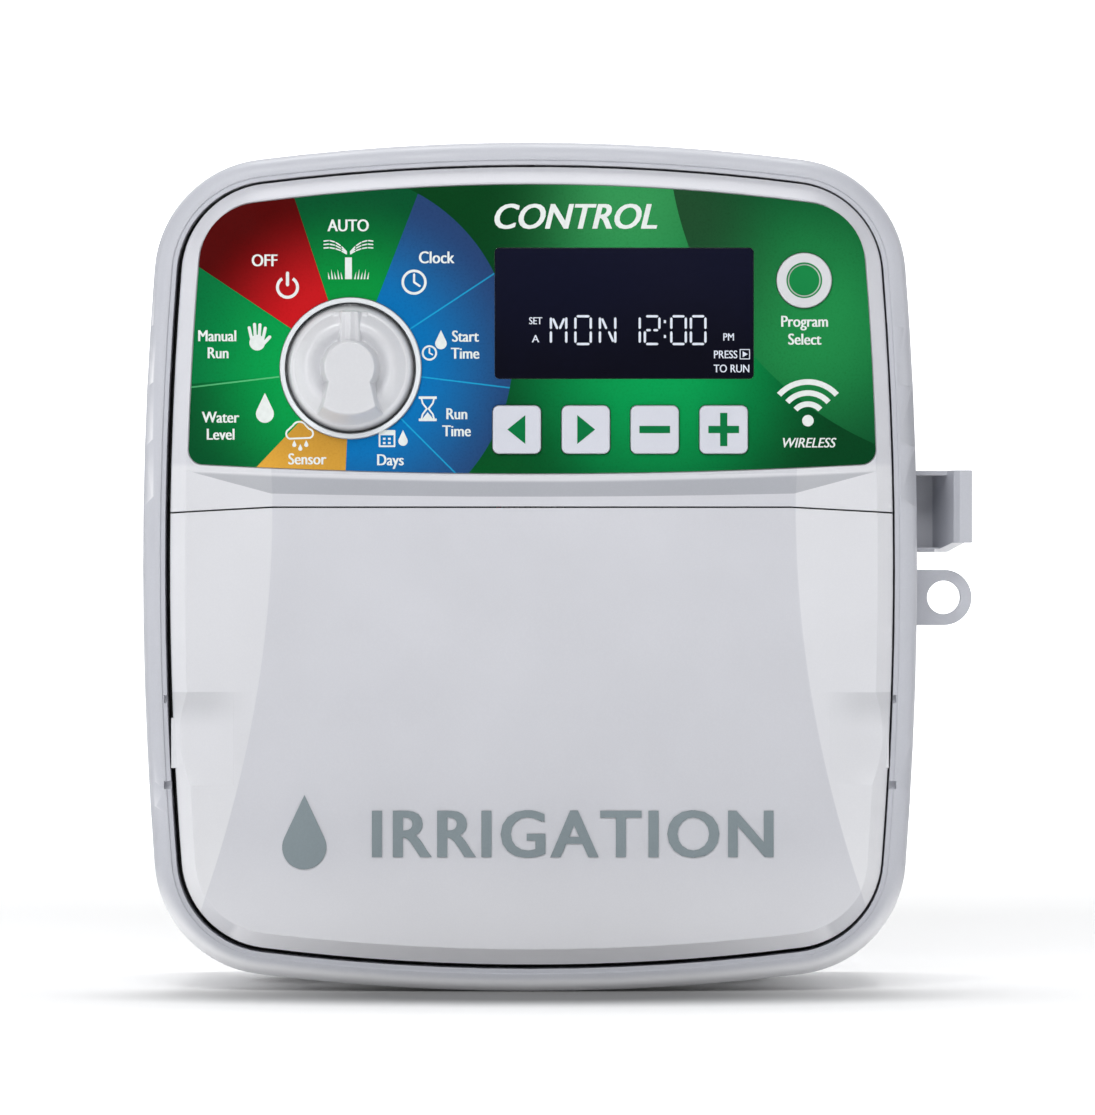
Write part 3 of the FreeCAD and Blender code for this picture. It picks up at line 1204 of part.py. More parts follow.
def wire_along(points, bend):
    """A round lead along straight runs, joined by tangent arcs."""
    edges = []
    start = points[0]
    for before, corner, after in zip(points, points[1:], points[2:]):
        back = (before - corner).normalize()
        ahead = (after - corner).normalize()
        half = back.getAngle(ahead) / 2
        trim = bend / math.tan(half)
        centre = corner + (back + ahead).normalize() * (bend / math.sin(half))
        first = corner + back * trim
        last = corner + ahead * trim
        nearest = centre + (corner - centre).normalize() * bend
        edges.append(Part.LineSegment(start, first).toShape())
        edges.append(Part.Arc(first, nearest, last).toShape())
        start = last
    edges.append(Part.LineSegment(start, points[-1]).toShape())
    path = Part.Wire(edges)
    direction = points[1] - points[0]
    ring = Part.Wire(Part.makeCircle(value("lead_radius"), points[0], direction))
    return path.makePipeShell([ring], True, True)


def leads(label, routes):
    """A group of leads. Each route is a list of (x, out, z) formulas."""
    solids = []
    for route in routes:
        points = [FreeCAD.Vector(value(x), -value(out), value(z)) for x, out, z in route]
        solids.append(wire_along(points, value("lead_bend")))
    whole = doc.addObject("Part::Feature", label)
    whole.Shape = Part.makeCompound(solids)
    finished(whole, label)


def make_mains():
    base = block("mains_block_left", "mains_block_right", "back_wall", "mains_block_front",
                 "mains_block_low", "mains_block_high")
    places = [f"mains_block_left + ({way} + 0.5) * mains_pitch" for way in range(3)]
    wells = [rod(across, "(mains_block_low + mains_block_high) / 2", "mains_block_front - 8",
                 "mains_block_front + 1", "3") for across in places]
    entries = [block(f"{across} - 2", f"{across} + 2", "mains_block_front - 13",
                     "mains_block_front - 8.5", "mains_block_low - 1",
                     "mains_block_low + 6") for across in places]
    finished(cut(base, joined(wells + entries)), "mains_terminal_block")
    group([screw(across, "(mains_block_low + mains_block_high) / 2", "mains_block_front - 8",
                 "mains_block_front - 6", "1.5", "2.6", "2.5") for across in places],
          "mains_terminal_screws")
    block_x = ("core_x - 7", "core_x + 1")
    leads("primary_leads", [[(x, "coil_front", "core_z - 8"), (x, "lead_out", "core_z - 8"),
                             (x, "lead_out", "mains_block_high - 2.5"),
                             (x, "mains_block_front", "mains_block_high - 2.5")]
                            for x in block_x])
    leads("secondary_leads", [[("core_x + 12", "coil_front", z), ("core_x + 12", "lead_out", z),
                               ("(plug_left + plug_right) / 2", "lead_out", z),
                               ("(plug_left + plug_right) / 2", "tray_back", z)]
                              for z in ("core_z - 3", "core_z + 3")])
    plug = block("plug_left + plug_gap", "plug_right - plug_gap", "tray_back", "deck_back",
                 "plug_low + plug_gap", "plug_high - plug_gap", "Plug")
    finished(plug, "power_plug")

    body = new_body("mains_lid")
    plan = sketch_on(body, "XZ_Plane", "tray_floor")
    rounded_rectangle(plan, "(lid_left + lid_right - lid_foot) / 2", "(lid_low + lid_high) / 2",
                      "lid_right - lid_foot - lid_left", "lid_high - lid_low", "3")
    pad(body, plan, "lid_front - tray_floor")
    foot = sketch_on(body, "XZ_Plane", "tray_floor")
    rectangle(foot, "lid_right - lid_foot - 4", "lid_screw_z - 6", "lid_right", "lid_screw_z + 6")
    pad(body, foot, "lid_wall")
    hole = sketch_on(body, "XZ_Plane", "tray_floor + 4")
    circle(hole, "lid_screw_x", "lid_screw_z", "tray_hole")
    pocket(body, hole, "5")
    inside = sketch_on(body, "XZ_Plane", "tray_floor")
    rounded_rectangle(inside, "(lid_left + lid_right - lid_foot) / 2", "(lid_low + lid_high) / 2",
                      "lid_right - lid_foot - lid_left - 2 * lid_wall",
                      "lid_high - lid_low - 2 * lid_wall", "1.4")
    pocket(body, inside, "lid_front - lid_wall - tray_floor", forward=True)
    finished(body, "mains_lid")
    finished(screw("lid_screw_x", "lid_screw_z", "tray_back - 3", "tray_floor + lid_wall",
                   "post_hole - 0.05", "3", "2"), "mains_lid_screw")


# ---------------------------------------------------------------- build and write


def write_parts():
    """Stops on any failed object, then writes each sub-part to its own file."""
    doc.recompute()
    for thing in doc.Objects:
        if {"Invalid", "Error"} & set(thing.State):
            raise RuntimeError(f"{thing.Name} ({thing.Label}) failed: {thing.State}")
    os.makedirs("parts", exist_ok=True)
    for thing in sub_parts:
        shape = thing.Shape
        if shape.isNull() or not shape.isValid():
            raise RuntimeError(f"{thing.Label} has no valid shape")
        shape.exportStep(f"parts/{thing.Label}.step")
        print(thing.Label, len(shape.Solids), round(shape.Volume / 1000, 2))


make_housing()
sunken = sunken_middle()
make_fascia(sunken)
make_cover(sunken)
make_film()
make_dial()
make_keys()
make_display()
make_board()
make_tray()
make_deck()
make_battery()
make_ribbon()
make_transformer()
make_mains()
write_parts()
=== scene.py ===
import math
import bmesh
import bpy
from mathutils import Matrix, Vector


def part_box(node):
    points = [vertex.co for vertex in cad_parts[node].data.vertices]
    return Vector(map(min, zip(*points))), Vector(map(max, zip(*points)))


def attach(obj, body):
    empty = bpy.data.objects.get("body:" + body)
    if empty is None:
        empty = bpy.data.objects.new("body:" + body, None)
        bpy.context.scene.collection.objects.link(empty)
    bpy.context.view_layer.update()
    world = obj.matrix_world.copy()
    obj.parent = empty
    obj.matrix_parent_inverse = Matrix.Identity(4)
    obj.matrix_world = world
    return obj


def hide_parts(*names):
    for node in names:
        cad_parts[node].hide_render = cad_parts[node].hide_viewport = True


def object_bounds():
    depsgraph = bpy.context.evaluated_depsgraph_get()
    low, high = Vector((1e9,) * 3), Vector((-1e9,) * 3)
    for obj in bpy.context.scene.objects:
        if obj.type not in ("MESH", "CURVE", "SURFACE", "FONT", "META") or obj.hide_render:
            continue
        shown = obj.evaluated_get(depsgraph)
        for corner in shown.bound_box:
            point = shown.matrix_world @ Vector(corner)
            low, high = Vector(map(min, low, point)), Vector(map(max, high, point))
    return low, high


# The irrigation controller without its outer door. Lengths named below are in millimetres in the
# row frame: x to the right, z up, and "out" the distance from the wall, so y = -out.

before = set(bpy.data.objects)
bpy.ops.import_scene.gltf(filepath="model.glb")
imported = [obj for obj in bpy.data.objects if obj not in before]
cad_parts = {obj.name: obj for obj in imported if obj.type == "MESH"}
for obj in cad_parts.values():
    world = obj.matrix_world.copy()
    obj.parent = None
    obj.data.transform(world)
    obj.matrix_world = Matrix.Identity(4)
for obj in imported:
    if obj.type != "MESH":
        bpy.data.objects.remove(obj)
cad_low, cad_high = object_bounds()
MM = 0.001

# The sunken middle of the lower front: a shallow bowl between two facets. The crease between bowl
# and facet stands CREASE_HALF from CREASE_X at the bowl's top, and spreads downwards.
PANEL_FACE = 76
BOWL_RADIUS = 1773
BOWL_DEPTH = 3
BOWL_Z = 14.2
CREASE_X, CREASE_HALF, CREASE_SPREAD = 0.95, 61.5, 537
LEDGE_RADIUS = 1400
SCOOP_TOP = -29.4
DIAL_RING_RADIUS = 16.55


def middle(node):
    """The (x, z) of a node's centre, in millimetres."""
    low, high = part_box(node)
    return (low.x + high.x) / 2 / MM, (low.z + high.z) / 2 / MM


def front_of(node):
    """How far out a node's front reaches, in millimetres."""
    return -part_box(node)[0].y / MM


# ---------------------------------------------------------------- camera, light and floor

VIEW_X, VIEW_Z = 4.1, 2.2
VIEW_HEIGHT = 262.2
LENS = 200
SENSOR = 36
VIEW_OUT = front_of("wiring_cover") - 3.5


def make_camera():
    """Straight on, as in the photo. VIEW_HEIGHT fills the frame's height in the plane VIEW_OUT."""
    data = bpy.data.cameras.new("camera")
    data.lens = LENS
    data.sensor_width = SENSOR
    data.clip_end = 20
    camera = bpy.data.objects.new("camera", data)
    bpy.context.scene.collection.objects.link(camera)
    distance = VIEW_OUT + VIEW_HEIGHT * LENS / SENSOR
    camera.location = Vector((VIEW_X, -distance, VIEW_Z)) * MM
    camera.rotation_euler = (math.radians(90), 0, 0)
    bpy.context.scene.camera = camera


def area_light(name, place, target, width, height, power):
    data = bpy.data.lights.new(name, "AREA")
    data.shape = "RECTANGLE"
    data.size = width
    data.size_y = height
    data.energy = power
    light = bpy.data.objects.new(name, data)
    bpy.context.scene.collection.objects.link(light)
    light.location = place
    aim = Vector(target) - Vector(place)
    light.rotation_euler = aim.to_track_quat("-Z", "Y").to_euler()


def make_lights():
    """A broad key from above, a strip at each side of the camera, rim lights and a top light."""
    area_light("key_box", (-0.08, -1.02, 0.72), (0, 0, 0), 0.9, 0.3, 7.4)
    area_light("left_strip", (-0.5, -0.95, 0.12), (0, 0, 0), 0.08, 0.4, 1.35)
    area_light("right_strip", (0.36, -1.05, 0.12), (0, 0, 0), 0.08, 0.4, 0.42)
    area_light("left_edge", (-1.0, -0.155, 0.16), (0, -0.07, 0), 0.08, 0.5, 1.8)
    area_light("right_edge", (1.0, -0.155, 0.16), (0, -0.07, 0), 0.08, 0.5, 1.4)
    area_light("top_box", (0.0, 0.16, 1.1), (0, -0.05, -0.1), 0.7, 0.3, 7.0)
    world = bpy.data.worlds.new("studio")
    world.use_nodes = True
    nodes = world.node_tree.nodes
    background = nodes["Background"]
    background.inputs["Color"].default_value = (0.9, 0.94, 1, 1)
    background.inputs["Strength"].default_value = 0.1
    bpy.context.scene.world = world
    bpy.context.scene.view_settings.view_transform = "Standard"


def make_floor():
    """A floor that curves up into a backdrop, with a contact shade painted under the object. It
    glows far off, in front and behind, to stay pale in every view."""
    half = 3.0
    front = -4.5
    bend = 0.6
    bend_steps = 12
    back = 1.6
    top = 3.0
    low = cad_low.z
    profile = [(front, low)]
    for step in range(bend_steps + 1):
        turn = math.radians(90) * step / bend_steps
        profile.append((back + bend * math.sin(turn), low + bend * (1 - math.cos(turn))))
    profile.append((back + bend, top))
    sheet = bmesh.new()
    rows = [[sheet.verts.new((x, y, z)) for y, z in profile] for x in (-half, half)]
    for left, right in zip(zip(rows[0], rows[0][1:]), zip(rows[1], rows[1][1:])):
        sheet.faces.new((left[0], left[1], right[1], right[0]))
    mesh = bpy.data.meshes.new("studio_sweep")
    sheet.to_mesh(mesh)
    sheet.free()
    mesh.polygons.foreach_set("use_smooth", [True] * len(mesh.polygons))
    floor = bpy.data.objects.new("studio_sweep", mesh)
    bpy.context.scene.collection.objects.link(floor)
    paper = Finish("sweep_paper")
    grain = paper.noise(3, 2)
    colour = paper.ramp(grain, [(0.3, (0.93, 0.93, 0.93)), (0.7, (0.96, 0.96, 0.96))])
    x, y, _ = paper.axes()
    shade_y, shade_half_width, shade_half_depth = -0.083, 0.105, 0.040
    side = paper.calc("DIVIDE", x, shade_half_width)
    ahead = paper.calc("DIVIDE", paper.calc("SUBTRACT", y, shade_y), shade_half_depth)
    reach = paper.calc("SQRT", paper.calc("ADD", paper.calc("MULTIPLY", side, side),
                                          paper.calc("MULTIPLY", ahead, ahead)))
    colour = paper.mix(paper.rise(reach, 0.3, 1.1, 0.76, 0), colour, (0.02, 0.02, 0.023))
    glow = paper.calc("ADD", paper.rise(y, 0.2, 1.1, 0.03, 1.0),
                      paper.rise(y, -1.9, -0.75, 0.6, 0))
    paper.surface(colour, 0.9, glow=glow)
    floor.data.materials.append(paper.material)


# ---------------------------------------------------------------- finishes


class Finish:
    """A material under construction. Its textures are laid out in the row frame, in metres."""

    def __init__(self, name):
        self.material = bpy.data.materials.new(name)
        self.material.use_nodes = True
        self.tree = self.material.node_tree
        self.tree.nodes.clear()
        self.place = self.node("ShaderNodeTexCoord").outputs["Object"]

    def node(self, kind, inputs=None, **settings):
        made = self.tree.nodes.new(kind)
        for name, setting in settings.items():
            setattr(made, name, setting)
        for name, source in (inputs or {}).items():
            self.feed(made.inputs[name], source)
        return made

    def feed(self, socket, source):
        """Links the socket to another node's output, or sets it to a plain value."""
        if isinstance(source, bpy.types.NodeSocket):
            self.tree.links.new(source, socket)
        elif isinstance(source, tuple) and len(source) == 3 and socket.type == "RGBA":
            socket.default_value = (*source, 1)
        else:
            socket.default_value = source

    def calc(self, operation, *terms):
        made = self.node("ShaderNodeMath", operation=operation)
        for index, term in enumerate(terms):
            self.feed(made.inputs[index], term)
        return made.outputs[0]

    def noise(self, scale, detail=2, stretch=(1, 1, 1)):
        placed = self.node("ShaderNodeMapping", {"Vector": self.place, "Scale": stretch})
        made = self.node("ShaderNodeTexNoise", {"Vector": placed.outputs[0], "Scale": scale,
                                                "Detail": detail})
        return made.outputs[0]

    def rise(self, source, start, end, low=0.0, high=1.0):
        """A smooth step of source from low, at start, to high, at end."""
        made = self.node("ShaderNodeMapRange", interpolation_type="SMOOTHSTEP")
        for index, term in enumerate((source, start, end, low, high)):
            self.feed(made.inputs[index], term)
        return made.outputs[0]

    def mix(self, share, first, second, kind="MIX"):
        made = self.node("ShaderNodeMix", data_type="RGBA", blend_type=kind)
        for index, term in ((0, share), (6, first), (7, second)):
            self.feed(made.inputs[index], term)
        return made.outputs[2]

    def ramp(self, share, stops, kind="LINEAR"):
        made = self.node("ShaderNodeValToRGB", {"Fac": share})
        ramp = made.color_ramp
        ramp.interpolation = kind
        while len(ramp.elements) < len(stops):
            ramp.elements.new(1)
        for element, (position, colour) in zip(ramp.elements, stops):
            element.position = position
            element.color = (*colour, 1)
        return made.outputs[0]

    def axes(self):
        made = self.node("ShaderNodeSeparateXYZ", {"Vector": self.place})
        return made.outputs[0], made.outputs[1], made.outputs[2]

    def distance(self, across, up):
        """Distance in the XZ plane from a point, in millimetres."""
        x, _, z = self.axes()
        side = self.calc("SUBTRACT", self.calc("DIVIDE", x, MM), across)
        rise = self.calc("SUBTRACT", self.calc("DIVIDE", z, MM), up)
        total = self.calc("ADD", self.calc("MULTIPLY", side, side),
                          self.calc("MULTIPLY", rise, rise))
        return self.calc("SQRT", total)

    def soft_edge(self, radius):
        """(normal with rounded edges, how sharply the surface turns here)."""
        rounded = self.node("ShaderNodeBevel", {"Radius": radius * MM}, samples=6)
        plain = self.node("ShaderNodeNewGeometry").outputs["Normal"]
        dot = self.node("ShaderNodeVectorMath", operation="DOT_PRODUCT")
        self.feed(dot.inputs[0], rounded.outputs[0])
        self.feed(dot.inputs[1], plain)
        return rounded.outputs[0], self.calc("SUBTRACT", 1, dot.outputs["Value"])

    def bump(self, height, depth, normal=None):
        """A normal roughened by height, which spans depth millimetres."""
        made = self.node("ShaderNodeBump", {"Height": height, "Distance": depth * MM})
        if normal is not None:
            self.feed(made.inputs["Normal"], normal)
        return made.outputs[0]

    def surface(self, colour, roughness, normal=None, metal=0.0, coat=0.0, glow=0.0,
                specular=0.5):
        """Ends the material with its shader, and gives the material."""
        shader = self.node("ShaderNodeBsdfPrincipled", {
            "Base Color": colour, "Roughness": roughness, "Metallic": metal,
            "Coat Weight": coat, "Coat Roughness": 0.1, "Specular IOR Level": specular})
        if glow:
            self.feed(shader.inputs["Emission Color"], colour)
            self.feed(shader.inputs["Emission Strength"], glow)
        if normal is not None:
            self.feed(shader.inputs["Normal"], normal)
        end = self.node("ShaderNodeOutputMaterial")
        self.tree.links.new(shader.outputs[0], end.inputs["Surface"])
        return self.material


def plastic(name, colour, roughness, grain=0.01, grain_scale=2600, spread=0.03, round_edge=0.35,
            edge_wear_and_highlight=0.12, coat=0.0, specular=0.5, tone=None):
    """Moulded plastic: fine spark-eroded grain, faint cloudiness and lighter edges, from scuffing
    and, at strong settings, a painted edge highlight.
    """
    made = Finish(name)
    clouds = made.noise(38, 3)
    darker = tuple(channel * (1 - spread) for channel in colour)
    lighter = tuple(min(1, channel * (1 + spread)) for channel in colour)
    body = made.ramp(clouds, [(0.3, darker), (0.7, lighter)])
    # A tone, when given, paints light and shade onto the colour.
    if tone:
        body = tone(made, body)
    fine = made.noise(grain_scale, 2)
    body = made.mix(made.rise(fine, 0.35, 0.75, 0, 0.06), body, (1, 1, 1), "SOFT_LIGHT")
    normal, turning = made.soft_edge(round_edge)
    scuffs = made.noise(160, 4)
    # Edges painted lighter where the surface turns: scuffing, and at strong settings a painted
    # edge highlight.
    worn_and_highlit = made.calc("MULTIPLY", made.rise(turning, 0.02, 0.25), made.rise(scuffs, 0.35, 0.7))
    pale = tuple(min(1, channel * 1.15 + 0.02) for channel in colour)
    body = made.mix(made.calc("MULTIPLY", worn_and_highlit, edge_wear_and_highlight), body, pale)
    matte = made.rise(made.noise(70, 3), 0.3, 0.7, roughness - 0.05, roughness + 0.06)
    matte = made.calc("SUBTRACT", matte, made.calc("MULTIPLY", worn_and_highlit, 0.08))
    return made.surface(body, matte, made.bump(fine, grain, normal), coat=coat,
                        specular=specular)


def panel_painted_light(made, body):
    """Painted light and shade on the front: painted light on the facets, the low end and the
    bottom bevel, painted shade on the ledge under a painted highlight on its lip, painted shade at
    the top of the finger scoops, and a painted highlight on the ring round the dial."""
    x, _, z = made.axes()
    wide = made.calc("DIVIDE", x, MM)
    high = made.calc("DIVIDE", z, MM)
    across = made.calc("ABSOLUTE", made.calc("SUBTRACT", wide, CREASE_X))
    drop = made.calc("SUBTRACT", high, BOWL_Z)
    crease = made.calc("ADD", made.calc("DIVIDE", made.calc("MULTIPLY", drop, drop),
                                        CREASE_SPREAD), CREASE_HALF)
    beyond = made.calc("SUBTRACT", across, crease)
    # Painted light on the side facets, more towards the bottom.
    facet = made.calc("MULTIPLY", made.rise(beyond, -0.1, 0.15),
                      made.calc("ADD", made.rise(drop, 9, 10.5, 0.24, 0),
                                made.rise(drop, -92, -50, 0.17, 0)))
    body = made.mix(facet, body, (0.90, 0.90, 0.90))
    # Painted light on the low end of the cover.
    body = made.mix(made.rise(drop, -102, -74, 0.36, 0), body, (0.90, 0.90, 0.92))
    # Painted shade at the top of the finger scoops.
    scoop = made.calc("MULTIPLY", made.rise(high, -38.5, -31.5, 0, 1), made.rise(across, 66, 78))
    scoop = made.calc("MULTIPLY", scoop, made.rise(high, SCOOP_TOP - 0.2, SCOOP_TOP + 0.2, 0.3, 0))
    body = made.mix(scoop, body, (0.30, 0.31, 0.33))
    normal = made.node("ShaderNodeNewGeometry").outputs["Normal"]
    split = made.node("ShaderNodeSeparateXYZ", {"Vector": normal})
    slope = made.calc("MULTIPLY", made.rise(split.outputs[2], -0.45, -0.25, 1, 0),
                      made.rise(drop, -1, 0))
    arch = made.calc("SUBTRACT", high, made.calc("DIVIDE", made.calc("MULTIPLY", wide, wide),
                                                 2 * LEDGE_RADIUS))
    # Painted shade on the ledge where it looks down.
    body = made.mix(made.calc("MULTIPLY", slope, made.rise(arch, 19.6, 20.4, 0.36, 0)), body,
                    (0.10, 0.12, 0.15))
    # Painted highlight along the lip above the ledge.
    body = made.mix(made.calc("MULTIPLY", slope, made.rise(arch, 19.8, 20.6, 0, 0.3)), body,
                    (0.92, 0.93, 0.95))
    # Painted light on the bottom bevel, which looks down.
    body = made.mix(made.rise(split.outputs[2], -0.62, -0.58, 0.9, 0), body, (0.92, 0.92, 0.95))
    # Painted highlight on the bead round the dial.
    ring = made.rise(made.distance(*middle("dial_knob")), DIAL_RING_RADIUS - 0.05,
                     DIAL_RING_RADIUS + 0.05, 1, 0)
    return made.mix(ring, body, (0.73, 0.76, 0.79))


def housing_painted_light(made, body):
    """Painted light: faces that look down are painted lighter, in place of light bounced up from
    the floor.
    """
    normal = made.node("ShaderNodeNewGeometry").outputs["Normal"]
    split = made.node("ShaderNodeSeparateXYZ", {"Vector": normal})
    return made.mix(made.rise(split.outputs[2], -0.5, -0.02, 0.85, 0), body, (0.93, 0.93, 0.95))


def metal(name, colour, roughness, brushed=0.0):
    """Bare or plated metal, with drawn lines when brushed, and dull spots."""
    made = Finish(name)
    dull = made.noise(420, 4)
    dark = tuple(channel * 0.78 for channel in colour)
    body = made.ramp(dull, [(0.35, dark), (0.62, colour)])
    lines = made.noise(900, 2, (1, 1, 14)) if brushed else made.noise(1600, 2)
    matte = made.rise(lines, 0.3, 0.7, roughness - 0.04, roughness + 0.12)
    normal, _ = made.soft_edge(0.15)
    return made.surface(body, matte, made.bump(lines, 0.004 + 0.01 * brushed, normal), metal=1.0)


def circuit_board(name):
    """Green solder mask over blocks of straight copper tracks, with round pads between them."""
    made = Finish(name)
    x, _, z = made.axes()

    def draw_lot(size, seed):
        """A random share for each square of the board, its size in millimetres."""
        square = [made.calc("FLOOR", made.calc("DIVIDE", way, size * MM)) for way in (x, z)]
        spot = made.node("ShaderNodeCombineXYZ", {"X": square[0], "Y": square[1], "Z": seed})
        lots = made.node("ShaderNodeTexWhiteNoise", {"Vector": spot.outputs[0]},
                         noise_dimensions="3D")
        return lots.outputs["Value"]

    def off_middle(way, size):
        """How far a place is from the middle of its stripe, as a share of the stripe's width."""
        share = made.calc("FRACT", made.calc("DIVIDE", way, size * MM))
        return made.calc("ABSOLUTE", made.calc("SUBTRACT", share, 0.5))

    level = made.rise(off_middle(z, 1.05), 0.19, 0.25, 1, 0)
    upright = made.rise(off_middle(x, 1.05), 0.19, 0.25, 1, 0)
    turned = made.calc("GREATER_THAN", draw_lot(6.3, 1.0), 0.5)
    tracks = made.calc("ADD", made.calc("MULTIPLY", upright, turned),
                       made.calc("MULTIPLY", level, made.calc("SUBTRACT", 1, turned)))
    tracks = made.calc("MULTIPLY", tracks, made.calc("LESS_THAN", draw_lot(6.3, 2.0), 0.8))
    side = off_middle(x, 2.1)
    rise = off_middle(z, 2.1)
    reach = made.calc("SQRT", made.calc("ADD", made.calc("MULTIPLY", side, side),
                                        made.calc("MULTIPLY", rise, rise)))
    pads = made.calc("MULTIPLY", made.rise(reach, 0.2, 0.24, 1, 0),
                     made.calc("GREATER_THAN", draw_lot(2.1, 3.0), 0.84))
    weave = made.noise(900, 2)
    mask = made.ramp(weave, [(0.3, (0.006, 0.075, 0.026)), (0.7, (0.01, 0.1, 0.035))])
    body = made.mix(tracks, mask, (0.014, 0.15, 0.055))
    body = made.mix(pads, body, (0.62, 0.63, 0.6))
    height = made.calc("ADD", made.calc("MULTIPLY", tracks, 0.6), pads)
    matte = made.rise(pads, 0, 1, 0.34, 0.22)
    return made.surface(body, matte, made.bump(height, 0.03), coat=0.35)


def lead_skin(name, colour):
    """Soft insulation of a lead, slightly uneven along its length."""
    made = Finish(name)
    uneven = made.noise(260, 3)
    dark = tuple(channel * 0.75 for channel in colour)
    body = made.ramp(uneven, [(0.3, dark), (0.7, colour)])
    matte = made.rise(uneven, 0.3, 0.7, 0.3, 0.45)
    return made.surface(body, matte, made.bump(made.noise(900, 2), 0.01), coat=0.1)


def laminations(name):
    """A stack of varnished steel sheets: fine lines across its edge."""
    made = Finish(name)
    _, y, _ = made.axes()
    lines = made.calc("FRACT", made.calc("DIVIDE", y, 0.5 * MM))
    gap = made.calc("ADD", made.rise(lines, 0, 0.18, 1, 0), made.rise(lines, 0.82, 1, 0, 1))
    body = made.mix(gap, (0.11, 0.11, 0.115), (0.02, 0.02, 0.022))
    body = made.mix(made.rise(made.noise(120, 4), 0.5, 0.75, 0, 0.5), body, (0.19, 0.12, 0.07))
    return made.surface(body, 0.42, made.bump(gap, -0.06), metal=0.6, coat=0.25)


def winding_tape(name):
    """Overlapping turns of glossy tape round a coil."""
    made = Finish(name)
    _, _, z = made.axes()
    turns = made.calc("FRACT", made.calc("DIVIDE", z, 6 * MM))
    seam = made.rise(turns, 0, 0.05, 1, 0)
    wrinkles = made.noise(220, 4, (1, 1, 3))
    body = made.ramp(wrinkles, [(0.3, (0.50, 0.32, 0.035)), (0.7, (0.72, 0.49, 0.06))])
    body = made.mix(seam, body, (0.3, 0.19, 0.02))
    height = made.calc("ADD", wrinkles, made.calc("MULTIPLY", turns, 1.5))
    return made.surface(body, 0.28, made.bump(height, 0.12), coat=0.5)


def ribbon_skin(name):
    """Flat cable: parallel cores under one grey skin, the first one marked red."""
    made = Finish(name)
    x, _, _ = made.axes()
    cores = made.calc("FRACT", made.calc("DIVIDE", x, 1.27 * MM))
    # The crests over the cores are painted lighter than the grooves: painted light and shade.
    crest = made.calc("SUBTRACT", 1, made.calc("ABSOLUTE", made.calc(
        "SUBTRACT", made.calc("MULTIPLY", cores, 2), 1)))
    body = made.mix(made.rise(crest, 0, 0.5), (0.22, 0.22, 0.23), (0.42, 0.42, 0.44))
    first = made.rise(x, -6.9 * MM, -6.75 * MM, 1, 0)
    body = made.mix(first, body, (0.55, 0.04, 0.03))
    return made.surface(body, 0.42, made.bump(made.rise(crest, 0, 0.9), 0.25))


def tinted_window(name):
    """The display's tinted window: deep gloss, a faint blue that grows lighter towards the top,
    and the finest hairlines.
    """
    made = Finish(name)
    _, _, z = made.axes()
    low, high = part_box("lcd_window")
    fall = made.rise(z, low.z, high.z)
    body = made.mix(fall, (0.0035, 0.0035, 0.008), (0.007, 0.0075, 0.02))
    body = made.mix(made.rise(made.noise(25, 2), 0.35, 0.75, 0, 0.5), body, (0.004, 0.005, 0.017))
    hairs = made.noise(500, 2, (1, 1, 22))
    matte = made.rise(hairs, 0.55, 0.8, 0.11, 0.17)
    normal, _ = made.soft_edge(0.25)
    return made.surface(body, matte, normal, specular=0.2)


def liquid_crystal(name):
    """The dark glass cell behind the window."""
    made = Finish(name)
    grid = made.noise(1500, 1)
    body = made.ramp(grid, [(0.3, (0.012, 0.014, 0.03)), (0.7, (0.018, 0.02, 0.045))])
    return made.surface(body, 0.12, coat=0.6)


def rubber(name):
    """Contact strips of dark and pink layers."""
    made = Finish(name)
    _, y, _ = made.axes()
    layers = made.calc("FRACT", made.calc("DIVIDE", y, 0.9 * MM))
    stripe = made.rise(layers, 0.45, 0.55)
    body = made.mix(stripe, (0.05, 0.05, 0.05), (0.4, 0.17, 0.2))
    return made.surface(body, 0.7, made.bump(made.noise(700, 2), 0.02))


def cell_can(name):
    """Turned steel of the coin cell, with fine rings round its centre."""
    made = Finish(name)
    rings = made.calc("FRACT", made.calc("DIVIDE", made.distance(*middle("coin_cell")), 0.45))
    body = made.mix(made.rise(made.noise(300, 3), 0.3, 0.7), (0.5, 0.5, 0.5), (0.66, 0.66, 0.65))
    height = made.calc("ABSOLUTE", made.calc("SUBTRACT", rings, 0.5))
    return made.surface(body, 0.24, made.bump(height, 0.012), metal=1.0)


# ---------------------------------------------------------------- the printed overlay

DIAL_X, DIAL_Z = middle("dial_knob")

# Where each dial sector ends, in degrees clockwise from the top, with its colour near the dial
# and its colour far from it.
SECTORS = [
    (19.7, (0.0, 0.28, 0.045), (0.0, 0.075, 0.022)),
    (182.4, (0.0, 0.16, 0.44), (0.018, 0.05, 0.15)),
    (223.1, (0.50, 0.26, 0.035), (0.80, 0.42, 0.055)),
    (263.2, (0.0, 0.30, 0.06), (0.0, 0.075, 0.02)),
    (303.7, (0.0, 0.32, 0.065), (0.0, 0.15, 0.04)),
    (340.6, (0.56, 0.008, 0.012), (0.075, 0.0, 0.0)),
    (360.0, (0.0, 0.28, 0.045), (0.0, 0.075, 0.022)),
]
THIN_LINES = [(56.6, "blue"), (97.0, "blue"), (135.0, "blue"), (263.2, "green")]
BLUE_CENTRE_X, BLUE_CENTRE_Z, BLUE_REACH = -46.8, 50.0, 42.8
SWEEP_CENTRE_X, SWEEP_CENTRE_Z, SWEEP_REACH = 113.2, 103.0, 80.9


